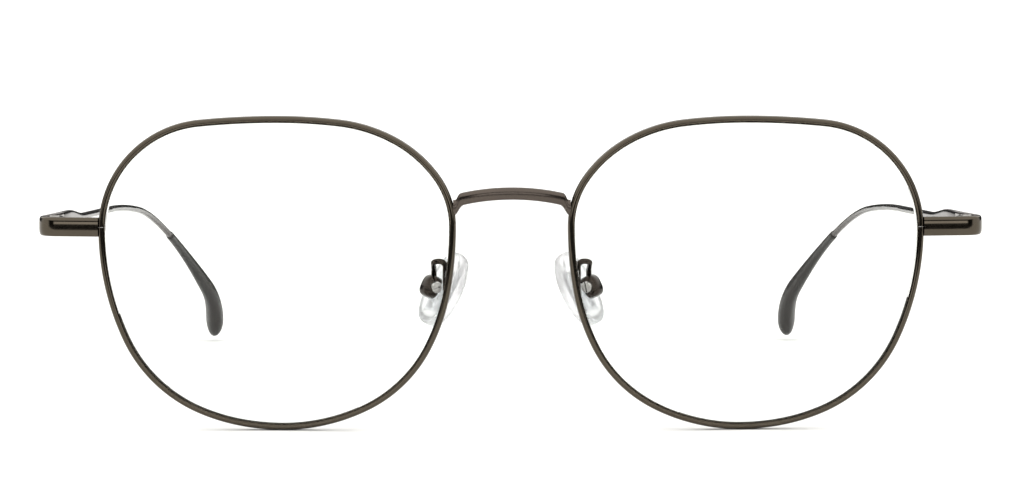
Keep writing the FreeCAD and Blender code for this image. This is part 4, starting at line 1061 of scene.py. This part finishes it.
# %% Soften the small parts
def softened(node, name, body, finish, edge):
    shape = bmesh.new()
    shape.from_mesh(frame["nodes"][node].data)
    bmesh.ops.remove_doubles(shape, verts=shape.verts, dist=2e-6)
    bmesh.ops.dissolve_limit(shape, angle_limit=math.radians(2), verts=shape.verts, edges=shape.edges)
    sharp = [e for e in shape.edges if e.is_manifold and e.calc_face_angle() > math.radians(40)]
    bmesh.ops.bevel(shape, geom=sharp, offset=edge * MM, segments=2, affect="EDGES", clamp_overlap=True)
    mesh = bpy.data.meshes.new(name)
    shape.to_mesh(mesh)
    shape.free()
    return add_piece(name, mesh, Matrix.Identity(4), body, [node], 35, finish)


LEAF_EDGE, BLOCK_EDGE, INSERT_EDGE = 0.06, 0.12, 0.08
for side, name in SIDES:
    temple = name + "_temple"
    softened(name + "_front_hinge_leaf", name + "_front_leaf", "front",
             satin_gunmetal, LEAF_EDGE)
    softened(name + "_temple_hinge_leaf", name + "_temple_leaf", temple,
             satin_gunmetal, LEAF_EDGE)
    for level in ("upper", "lower"):
        softened(name + "_rim_lock_" + level, name + "_" + level + "_block", "front",
                 polished_gunmetal, BLOCK_EDGE)
    softened(name + "_pad_core", name + "_pad_insert", name + "_nose_pad",
             clear_insert, INSERT_EDGE)

# %% [markdown]
# ## The table and the light
# The pair stands on a plain white table, whose front edge is out of view. The light is a large
# soft ceiling and two softer sides, with a dark band at eye level and a low card in the middle of
# it. The dark band is what makes polished metal look dark, and the ceiling, the card and the white
# table draw the bright lines along its crowns.

# %% The table
# in metres: how far it reaches to the sides and back, and where it ends ahead of the pair
TABLE_REACH, TABLE_LEDGE = 9.0, 0.22
TABLE_AHEAD = front_y * MM - TABLE_LEDGE
table = bpy.data.meshes.new("table_top")
corners = [
    (-TABLE_REACH, TABLE_AHEAD, 0), (TABLE_REACH, TABLE_AHEAD, 0),
    (TABLE_REACH, TABLE_REACH, 0), (-TABLE_REACH, TABLE_REACH, 0),
]
table.from_pydata(corners, [], [(0, 1, 2, 3)])
white_laminate = new_material(
    "white_laminate", Roughness=0.6, Base_Color=from_hex("f4f4f3"), Specular_IOR_Level=0.2)[0]
table.materials.append(white_laminate)
table_top = bpy.data.objects.new("table_top", table)
bpy.context.scene.collection.objects.link(table_top)

# %% The studio
studio = bpy.data.worlds.new("studio")
bpy.context.scene.world = studio
studio.use_nodes = True
room = studio.node_tree
room.nodes.clear()
way = add_node(room, "ShaderNodeTexCoord").outputs["Generated"]
across, along, height = add_node(room, "ShaderNodeSeparateXYZ", {0: way}).outputs
beside = add_node(room, "ShaderNodeMath", {0: across}, operation="ABSOLUTE").outputs[0]

# how bright the ceiling, the dark band, the side lamps and the card are
CEILING, BAND, SIDE_LAMP, CARD = 1.75, 0.05, 1.5, 2.4

# what each fades with, as parts of a way that is 1 long, then where it starts and stops to fade,
# and how bright it is on either side of that
FADES = (
    (height, 0.24, 0.36, BAND, CEILING),
    (beside, 0.80, 0.93, 0.0, SIDE_LAMP),
    (height, -0.03, 0.0, 0.0, 1.0),
    (height, 0.13, 0.17, CARD, 0.0),
    (along, -0.90, -0.80, 1.0, 0.0),
)
ceiling, lamps, card_foot, card_top, card_end = [
    add_node(room, "ShaderNodeMapRange", {
        "Value": value, "From Min": start, "From Max": stop, "To Min": before, "To Max": after,
    }, interpolation_type="SMOOTHSTEP").outputs[0]
    for value, start, stop, before, after in FADES
]
card, light = card_top, ceiling
for fade in (card_foot, card_end):
    card = add_node(room, "ShaderNodeMath", {0: card, 1: fade}, operation="MULTIPLY").outputs[0]
for lamp in (lamps, card):
    light = add_node(room, "ShaderNodeMath", {0: light, 1: lamp}, operation="MAXIMUM").outputs[0]
lit = add_node(room, "ShaderNodeBackground", {"Color": (1.0, 0.99, 0.97, 1.0), "Strength": light})
seen = add_node(room, "ShaderNodeBackground", {"Color": (1.0, 1.0, 1.0, 1.0), "Strength": 1.0})
ray = add_node(room, "ShaderNodeLightPath").outputs["Is Camera Ray"]
chosen = add_node(room, "ShaderNodeMixShader", {0: ray, 1: lit.outputs[0], 2: seen.outputs[0]})
add_node(room, "ShaderNodeOutputWorld", {"Surface": chosen.outputs[0]})

# a plain display transform, so that a white table comes out white
bpy.context.scene.view_settings.view_transform = "Standard"

# %% [markdown]
# ## The camera
# The pair is seen from straight ahead and a little above, through a long lens from arm's length,
# as a shop shows it.

# %% The camera
FOCAL, SENSOR, NEAREST, FARTHEST = 144.0, 36.0, 0.05, 60.0

# in metres: a little to the wearer's right, an arm's length ahead, and above what it looks at
CAMERA_ACROSS, CAMERA_AHEAD, CAMERA_HIGH, AIM_HIGH = -0.009, 0.5979, 0.0741, 0.0273

lens = bpy.data.cameras.new("front_camera")
lens.lens, lens.sensor_width, lens.clip_start, lens.clip_end = FOCAL, SENSOR, NEAREST, FARTHEST
camera = bpy.data.objects.new("front_camera", lens)
bpy.context.scene.collection.objects.link(camera)
camera.location = (CAMERA_ACROSS, front_y * MM - CAMERA_AHEAD, CAMERA_HIGH)
aim = Vector((0.0, front_y * MM, AIM_HIGH))
camera.rotation_euler = (aim - camera.location).to_track_quat("-Z", "Y").to_euler()
bpy.context.scene.camera = camera
